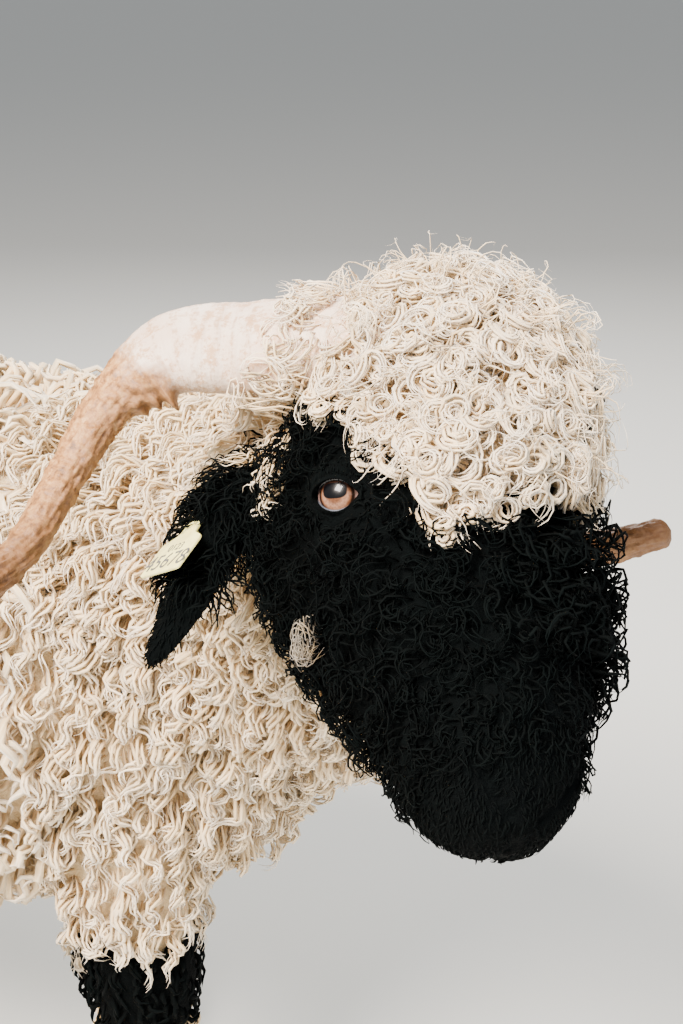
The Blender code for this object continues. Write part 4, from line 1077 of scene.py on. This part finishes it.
def mix(tree, factor, first, second, blend="MIX"):
    node = addNode(tree, "ShaderNodeMix", data_type="RGBA", blend_type=blend)
    for place, value in ((0, factor), (6, first), (7, second)):
        feed(tree, node.inputs[place], value)
    return node.outputs[2]


def maths(tree, operation, *values):
    node = addNode(tree, "ShaderNodeMath", operation=operation)
    for socket, value in zip(node.inputs, values):
        feed(tree, socket, value)
    return node.outputs[0]


def bumpOn(tree, shader, height, strength, distance):
    node = addNode(tree, "ShaderNodeBump", in_Strength=strength, in_Distance=distance)
    tree.links.new(height, node.inputs["Height"])
    tree.links.new(node.outputs["Normal"], shader.inputs["Normal"])


# Wool colours from root to tip: the darker, tanner roots are partly the wool's own colour and partly painted
# shade deep in the fleece, and the blue tint of the black tips is a painted sheen
woolColours = {"deep": (0.64, 0.44, 0.21), "middle": (0.90, 0.74, 0.49), "tip": (1.0, 0.90, 0.745),
               "warm": (0.94, 0.73, 0.44), "blackDeep": (0.0007, 0.0012, 0.0013),
               "blackTip": (0.0013, 0.0030, 0.0032)}


def woolGroup():
    # colour of white and black wool from its depth, its lock and its marking: darker towards the root, partly
    # the wool's own tan and partly painted shade deep in the fleece
    group = bpy.data.node_groups.new("wool colour", "ShaderNodeTree")
    for name, kind in (("Depth", "NodeSocketFloat"), ("Lock", "NodeSocketFloat"), ("Dark", "NodeSocketFloat"),
                       ("Place", "NodeSocketVector")):
        group.interface.new_socket(name, in_out="INPUT", socket_type=kind)
    group.interface.new_socket("Colour", in_out="OUTPUT", socket_type="NodeSocketColor")
    inside = group.nodes.new("NodeGroupInput")
    outside = group.nodes.new("NodeGroupOutput")
    # painted shade on the wool's own tan: white wool darkens from its tip to its root
    white = ramp(group, inside.outputs["Depth"], [(0.0, woolColours["deep"]), (0.35, woolColours["middle"]),
                                                  (0.75, woolColours["tip"])])
    patches = noiseNode(group, inside.outputs["Place"], 14.0)
    warm = ramp(group, patches, [(0.42, 0), (0.68, 1)])
    white = mix(group, maths(group, "MULTIPLY", warm, 0.35), white, woolColours["warm"])
    white = mix(group, 1.0, white, maths(group, "MULTIPLY_ADD", inside.outputs["Lock"], 0.30, 0.80),
                "MULTIPLY")
    # painted shade darkens black wool towards its root, and a painted bluish sheen tints its tips
    black = ramp(group, inside.outputs["Depth"],
                 [(0.0, woolColours["blackDeep"]), (1.0, woolColours["blackTip"])])
    final = mix(group, inside.outputs["Dark"], white, black)
    group.links.new(final, outside.inputs["Colour"])
    return group


woolColour = woolGroup()


def woolMaterial(name, sheen, gloss, onSkin=False):
    material, tree, shader = newMaterial(name, Roughness=0.85, Sheen_Weight=sheen, Sheen_Roughness=0.5,
                                         Specular_IOR_Level=gloss)
    group = addNode(tree, "ShaderNodeGroup", node_tree=woolColour)
    place, colour = objectPlace(tree), group.outputs["Colour"]
    feed(tree, group.inputs["Place"], place)
    feed(tree, group.inputs["Dark"], readValue(tree, "dark"))
    if onSkin:
        # dull clumps in the wool's root colours, with their painted shade, as deep between the locks as wool
        # goes
        clumps = noiseNode(tree, place, 130.0, 5.0, 0.7)
        feed(tree, group.inputs["Depth"], ramp(tree, clumps, [(0.30, 0.0), (0.75, 0.38)]))
        feed(tree, group.inputs["Lock"], 0.3)
        bumpOn(tree, shader, clumps, 0.9, 0.006)
    else:
        # the single hairs of a lock show as fine streaks that wind along it, with painted shade in the
        # grooves between them
        along = readValue(tree, "along")
        feed(tree, group.inputs["Depth"], along)
        feed(tree, group.inputs["Lock"], readValue(tree, "tone"))
        turn = maths(tree, "MULTIPLY_ADD", readValue(tree, "around"), 31.4,
                     maths(tree, "MULTIPLY", along, 24.0))
        streak = maths(tree, "SINE", maths(tree, "MULTIPLY_ADD", noiseNode(tree, place, 260.0), 5.0, turn))
        colour = mix(tree, 1.0, colour, ramp(tree, streak, [(0.0, (0.90, 0.84, 0.75)), (0.55, 1.0)]),
                     "MULTIPLY")
    feed(tree, shader.inputs["Base Color"], colour)
    return material


def isBlackPiece(piece):
    return "Wool" in piece.name or "Hair" in piece.name


coatWool = woolMaterial("curled wool", 0.32, 0.3)
headWool = woolMaterial("paler wool of the head", 0.62, 0.3)
blackWool = woolMaterial("black wool", 0.0, 0.05)
skinWool = woolMaterial("wool close to the skin", 0.0, 0.04, True)
skin.data.materials.clear()
skin.data.materials.append(skinWool)
for piece in coat:
    paler = piece.name.startswith(("forelock", "crown", "hornRoot"))
    piece.data.materials.append(blackWool if isBlackPiece(piece) else headWool if paler else coatWool)

# Horns
# the sheen colour is partly rubbed horn and partly a painted sheen
hornColours = {"base": (0.70, 0.50, 0.37), "pale": (0.83, 0.70, 0.58), "band": (0.42, 0.24, 0.12),
               "tan": (0.38, 0.165, 0.045), "brown": (0.115, 0.045, 0.011), "sheen": (0.60, 0.35, 0.15),
               "scratch": (0.52, 0.29, 0.14)}
print("making the horns")
hornMaterial, tree, shader = newMaterial("horn", Roughness=0.5, Specular_IOR_Level=0.45)
place = objectPlace(tree)
along, heel = readValue(tree, "along"), readValue(tree, "heel")
blotch = noiseNode(tree, place, 38.0, 4.0)
fine = noiseNode(tree, place, 240.0, 5.0, 0.7)
colour = ramp(tree, blotch, [(0.30, hornColours["pale"]), (0.70, hornColours["base"])])
wave = maths(tree, "SINE", maths(tree, "MULTIPLY_ADD", along, 190.0, maths(tree, "MULTIPLY", blotch, 9.0)))
bands = maths(tree, "MULTIPLY", ramp(tree, wave, [(0.55, 0.0), (1.0, 1.0)]),
              ramp(tree, fine, [(0.42, 0.0), (0.60, 0.8)]))
colour = mix(tree, bands, colour, hornColours["band"])
scratches = ramp(tree, noiseNode(tree, place, 95.0, 9.0, 0.85), [(0.50, 0), (0.57, 0.85)])
colour = mix(tree, scratches, colour, hornColours["scratch"])
# the worn half is tan and brown in streaks, with pale streaks that are partly rubbed horn and partly a
# painted sheen, and brown on its inner side
wornColour = ramp(tree, fine, [(0.34, hornColours["brown"]), (0.50, hornColours["tan"]),
                               (0.70, hornColours["sheen"])])
wornColour = mix(tree, maths(tree, "MULTIPLY", heel, 0.55), wornColour, hornColours["brown"])
edge = maths(tree, "ADD", along, maths(tree, "MULTIPLY", heel, 0.05))
edge = maths(tree, "ADD", edge, maths(tree, "MULTIPLY", maths(tree, "SUBTRACT", blotch, 0.5), 0.10))
colour = mix(tree, ramp(tree, edge, [(0.535, 0), (0.575, 0.97)]), colour, wornColour)
colour = mix(tree, ramp(tree, along, [(0.78, 0), (0.95, 0.8)]), colour, hornColours["brown"])
feed(tree, shader.inputs["Base Color"], colour)
feed(tree, shader.inputs["Roughness"], ramp(tree, fine, [(0.3, 0.42), (0.7, 0.66)]))
bumpOn(tree, shader, mix(tree, 0.3, fine, wave), 0.55, 0.0018)
horns = {}
for side, name in ((-1, "right"), (1, "left")):
    horns[name] = hornPiece(side, "horn" + name.capitalize())
    horns[name].data.materials.append(hornMaterial)

# Eyes
eyeColours = {"amber": (0.14, 0.060, 0.030), "pale": (0.29, 0.155, 0.095), "rim": (0.012, 0.006, 0.004),
              "pupil": (0.001, 0.001, 0.0015), "lid": (0.085, 0.100, 0.125),
              "upperLid": (0.006, 0.006, 0.008), "corner": (0.30, 0.19, 0.17)}


def eyePiece(side, name):
    place, slit, upward, facing = eyeAxes(side)
    shape = bmesh.new()
    bmesh.ops.create_uvsphere(shape, u_segments=64, v_segments=40, radius=eyeSizes["radius"])
    flat = {}
    for vert in shape.verts:
        x, y, z = vert.co
        flat[vert.index] = (x / eyeSizes["radius"], y / eyeSizes["radius"], z)
        swell = 1 + 0.02 * max(0.0, z / eyeSizes["radius"]) ** 4
        vert.co = fromHead([place + (slit * x + upward * y + facing * z) * swell])[0]
    layer = shape.loops.layers.uv.new("iris")
    for face in shape.faces:
        for loop in face.loops:
            x, y, z = flat[loop.vert.index]
            loop[layer].uv = (x, y) if z > -1 else (2, 2)
    bmesh.ops.recalc_face_normals(shape, faces=shape.faces)
    return toPiece(shape, name)


print("making the eyes")
eyeMaterial, tree, shader = newMaterial("eye", Roughness=0.3, Coat_Weight=0.35, Coat_Roughness=0.02,
                                        Specular_IOR_Level=0.15)
flatPlace = addNode(tree, "ShaderNodeUVMap", uv_map="iris").outputs["UV"]
parts = addNode(tree, "ShaderNodeSeparateXYZ")
tree.links.new(flatPlace, parts.inputs[0])
u, v = parts.outputs[0], parts.outputs[1]
length = addNode(tree, "ShaderNodeVectorMath", operation="LENGTH")
tree.links.new(flatPlace, length.inputs[0])
radius = length.outputs["Value"]
streaks = noiseNode(tree, flatPlace, 9.0, 5.0, 0.65)
iris = ramp(tree, radius,
            [(0.24, eyeColours["amber"]), (0.38, eyeColours["pale"]), (0.48, eyeColours["pale"]),
                           (0.56, eyeColours["amber"]), (0.61, eyeColours["rim"]), (0.67, eyeColours["rim"]),
                           (0.73, eyeColours["corner"])])
iris = mix(tree, 1.0, iris, ramp(tree, streaks, [(0.36, (0.62, 0.55, 0.50)), (0.62, 1)]), "MULTIPLY")
# painted shadow of the upper lid: the eye's colour darkens above its middle
shade = maths(tree, "MULTIPLY_ADD", v, 0.5, 0.5)
iris = mix(tree, 1.0, iris, ramp(tree, shade, [(0.50, 1), (0.64, (0.14, 0.11, 0.10))]), "MULTIPLY")
lift = maths(tree, "ABSOLUTE", maths(tree, "SUBTRACT", v, 0.16))
slot = maths(tree, "ADD", maths(tree, "POWER", maths(tree, "DIVIDE", maths(tree, "ABSOLUTE", u), 0.48), 3.0),
             maths(tree, "POWER", maths(tree, "DIVIDE", lift, 0.29), 3.0))
pupilPart = ramp(tree, slot, [(0.75, 1), (1.0, 0)])
feed(tree, shader.inputs["Base Color"], mix(tree, pupilPart, iris, eyeColours["pupil"]))
lidMaterial, tree, shader = newMaterial("moist lid", eyeColours["lid"], Roughness=0.32, Coat_Weight=0.4)
lidShade = ramp(tree, noiseNode(tree, objectPlace(tree), 500.0), [(0.3, 0.3), (0.7, 1)])
lidColour = mix(tree, maths(tree, "MULTIPLY", readValue(tree, "lower"), lidShade), eyeColours["upperLid"],
                eyeColours["lid"])
feed(tree, shader.inputs["Base Color"], lidColour)
eyes, rims = {}, {}
for side, name in ((-1, "right"), (1, "left")):
    eyes[name] = eyePiece(side, "eye" + name.capitalize())
    eyes[name].data.materials.append(eyeMaterial)
    rims[name] = lidRimPiece(side, "lidRim" + name.capitalize())
    rims[name].data.materials.append(lidMaterial)

# Claws
clawSizes = {"rows": [(0.0, 0.042, 0.030, 0.0165), (0.012, 0.041, 0.031, 0.0170),
                      (0.028, 0.036, 0.031, 0.0165), (0.042, 0.030, 0.029, 0.0155)],
             "ahead": 0.022, "apart": 0.0178, "flat": 0.86, "narrow": 0.35,
             "dark": (0.020, 0.017, 0.015), "pale": (0.085, 0.068, 0.052)}


def clawPlace(footX, y, side, t, angle):
    # the rows are height, reach to the toe, reach to the heel and half width
    rows = np.array(clawSizes["rows"])
    z, toe, heelSize, wide = [np.interp(t, np.arange(4), rows[:, k]) for k in range(4)]
    c, s = np.cos(angle), np.sin(angle)
    reach = np.where(c > 0, toe, heelSize)
    inner = wide * np.where(s * side < 0, clawSizes["flat"], 1.0)
    narrow = 1 - clawSizes["narrow"] * np.maximum(0, c) ** 2
    x = footX + clawSizes["ahead"] + np.sign(c) * np.abs(c) ** 0.8 * reach
    across = y + side * clawSizes["apart"] + np.sign(s) * np.abs(s) ** 0.8 * inner * narrow
    return np.stack([x, across, z], axis=1) + np.array(shift)


print("making the claws and the tag")
hoofMaterial, tree, shader = newMaterial("hoof", Roughness=0.55)
place = objectPlace(tree)
stretched = addNode(tree, "ShaderNodeMapping", in_Scale=(60.0, 60.0, 420.0))
tree.links.new(place, stretched.inputs["Vector"])
grain = noiseNode(tree, stretched.outputs["Vector"], 1.0, 4.0)
feed(tree, shader.inputs["Base Color"],
     ramp(tree, grain, [(0.3, clawSizes["dark"]), (0.7, clawSizes["pale"])]))
bumpOn(tree, shader, grain, 0.4, 0.001)
claws = {}
for name, side in (("right", -1), ("left", 1)):
    for end, x, y in (("front", forelegX(side), bodySizes["foreY"]),
                      ("hind", bodySizes["hindFootX"], bodySizes["hindY"])):
        for place, turn in (("inner", -side), ("outer", side)):
            shape = wrapSheet((lambda t, a: clawPlace(x, side * y, turn, t, a), 3.0), 18, 44)
            node = "claw_%s_%s_%s" % (end, name, place)
            claws[node] = toPiece(shape, "claw" + end.capitalize() + name.capitalize() + place.capitalize())
            claws[node].data.materials.append(hoofMaterial)
            claws[node].data.set_sharp_from_angle(angle=math.radians(40))


def tagMatrix():
    # the tag hangs from its stud, with its face turned out and forwards
    face = Vector(tagSizes["face"]).normalized()
    hang = Vector(tagSizes["hang"])
    hang = (hang - face * hang.dot(face)).normalized()
    turn = Matrix((hang.cross(face).normalized(), hang, face)).transposed().to_4x4()
    return headWorld @ Matrix.Translation(tagSizes["spot"]) @ turn


def tagPiece():
    shape = bmesh.new()
    shape.faces.new([shape.verts.new((x, y, tagSizes["stand"])) for x, y in tagSizes["outline"]])
    bmesh.ops.bevel(shape, geom=list(shape.verts), affect="VERTICES", offset=tagSizes["corner"], segments=5,
                    profile=0.5, material=-1)
    grown = bmesh.ops.extrude_face_region(shape, geom=list(shape.faces))
    moved = [v for v in grown["geom"] if isinstance(v, bmesh.types.BMVert)]
    bmesh.ops.translate(shape, verts=moved, vec=(0, 0, tagSizes["thick"]))
    bmesh.ops.recalc_face_normals(shape, faces=shape.faces)
    edges = [e for e in shape.edges if len(e.link_faces) == 2 and e.calc_face_angle(0) > 1.0]
    bmesh.ops.bevel(shape, geom=edges, affect="EDGES", offset=tagSizes["edge"], segments=2, profile=0.5,
                    material=-1)
    # the stud through the ear, its plate behind and its button in front
    for radius, low, high in tagSizes["discs"]:
        disc = bmesh.ops.create_cone(shape, cap_ends=True, segments=40, radius1=radius, radius2=radius * 0.94,
                                     depth=high - low)
        bmesh.ops.translate(shape, verts=disc["verts"], vec=(0, 0, (high + low) / 2))
    bmesh.ops.transform(shape, verts=shape.verts, matrix=tagMatrix())
    piece = toPiece(shape, "earTag")
    piece.data.set_sharp_from_angle(angle=math.radians(35))
    return piece


def tagDigits():
    # plain numbers in two lines, the smaller nearer to the stud
    shape = bmesh.new()
    for words, size, drop in tagSizes["lines"]:
        text = bpy.data.curves.new("tagDigits", "FONT")
        text.body = words
        text.size = size
        text.align_x = "CENTER"
        text.extrude = 0.12
        writing = addPiece("tagWriting", text)
        bpy.context.view_layer.update()
        mesh = bpy.data.meshes.new_from_object(writing.evaluated_get(bpy.context.evaluated_depsgraph_get()))
        bpy.data.objects.remove(writing, do_unlink=True)
        lift = Matrix.Translation((0, drop + size * 0.7, tagSizes["stand"] + tagSizes["thick"] + 0.05))
        mesh.transform(tagMatrix() @ lift @ Matrix.Rotation(math.pi, 4, "Z"))
        shape.from_mesh(mesh)
    bmesh.ops.remove_doubles(shape, verts=shape.verts, dist=1e-7)
    bmesh.ops.recalc_face_normals(shape, faces=shape.faces)
    return toPiece(shape, "tagDigits", False)


tag, digits = tagPiece(), tagDigits()
tagMaterial, tree, shader = newMaterial("tag plastic", tagSizes["yellow"], Roughness=0.42)
dust = noiseNode(tree, objectPlace(tree), 130.0, 4.0)
feed(tree, shader.inputs["Base Color"],
     ramp(tree, dust, [(0.35, tagSizes["yellow"]), (0.75, tagSizes["dust"])]))
bumpOn(tree, shader, dust, 0.15, 0.0005)
tag.data.materials.append(tagMaterial)
inkMaterial, tree, shader = newMaterial("ink", tagSizes["ink"], Roughness=0.6)
wornInk = noiseNode(tree, objectPlace(tree), 300.0, 3.0)
feed(tree, shader.inputs["Base Color"],
     ramp(tree, wornInk, [(0.3, tagSizes["ink"]), (0.75, tagSizes["wornInk"])]))
digits.data.materials.clear()
digits.data.materials.append(inkMaterial)

# What rides and what stands for which node
print("setting the pieces in the frame")
flesh = ["head", "forelock", "neck", "torso", "tail", "ear_right", "ear_left"]
for end, joint in (("fore", "knee"), ("hind", "hock")):
    for name in ("right", "left"):
        flesh += ["%sleg_%s_%s" % (end, name, part) for part in ("upper", joint, "cannon", "foot")]
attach(skin, "root")
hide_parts(*flesh)
for piece in coat:
    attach(piece, "root")
for name in ("right", "left"):
    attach(horns[name], "root")
    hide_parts("horn_" + name)
    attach(eyes[name], "root")
    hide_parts("eye_" + name)
    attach(rims[name], "root")
for node, piece in claws.items():
    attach(piece, "root")
    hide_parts(node)
for piece in (tag, digits):
    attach(piece, "root")
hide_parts("ear_tag")

# Floor, light and camera
print("setting the stage")
stageSizes = {"floor": (0.60, 0.60, 0.57), "sky": (0.80, 0.83, 0.87), "skyStrength": 0.65,
              "cameraSpot": (0.649, -0.971, 1.054), "azimuth": 12.0, "pitch": 22.0, "lens": 50,
              "sensor": 36, "aim": (0.4, -0.2, 0.7), "floorSize": 60}
floorShape = bmesh.new()
bmesh.ops.create_grid(floorShape, x_segments=1, y_segments=1, size=stageSizes["floorSize"])
floor = toPiece(floorShape, "floor", False)
floorMaterial, tree, shader = newMaterial("floor", stageSizes["floor"], Roughness=0.9)
floor.data.materials.append(floorMaterial)
world = bpy.data.worlds.new("studio")
world.use_nodes = True
world.node_tree.nodes["Background"].inputs["Color"].default_value = (*stageSizes["sky"], 1)
world.node_tree.nodes["Background"].inputs["Strength"].default_value = stageSizes["skyStrength"]
bpy.context.scene.world = world


def addLight(name, spot, size, power, colour):
    light = bpy.data.lights.new(name, "AREA")
    light.shape = "RECTANGLE"
    light.size, light.size_y = size
    light.energy = power
    light.color = colour
    lamp = addPiece(name, light)
    lamp.location = spot
    lamp.rotation_mode = "QUATERNION"
    lamp.rotation_quaternion = (Vector(stageSizes["aim"]) - Vector(spot)).to_track_quat("-Z", "Y")


addLight("keyLight", (-0.5, -1.9, 2.9), (1.3, 1.3), 485, (1.0, 0.90, 0.81))
addLight("fillLight", (2.6, -1.8, 1.5), (1.8, 1.8), 50, (0.94, 0.94, 1.0))
addLight("backLight", (0.0, 2.3, 2.6), (2.0, 1.2), 150, (1.0, 0.98, 0.95))
camera = bpy.data.cameras.new("camera")
camera.lens = stageSizes["lens"]
camera.sensor_width = stageSizes["sensor"]
view = addPiece("camera", camera)
view.location = Vector(stageSizes["cameraSpot"]) + shift
view.rotation_euler = (math.radians(90 - stageSizes["pitch"]), 0, math.radians(stageSizes["azimuth"]))
bpy.context.scene.camera = view

print("triangles in the coat", sum(len(piece.data.loops) - 2 * len(piece.data.polygons) for piece in coat))
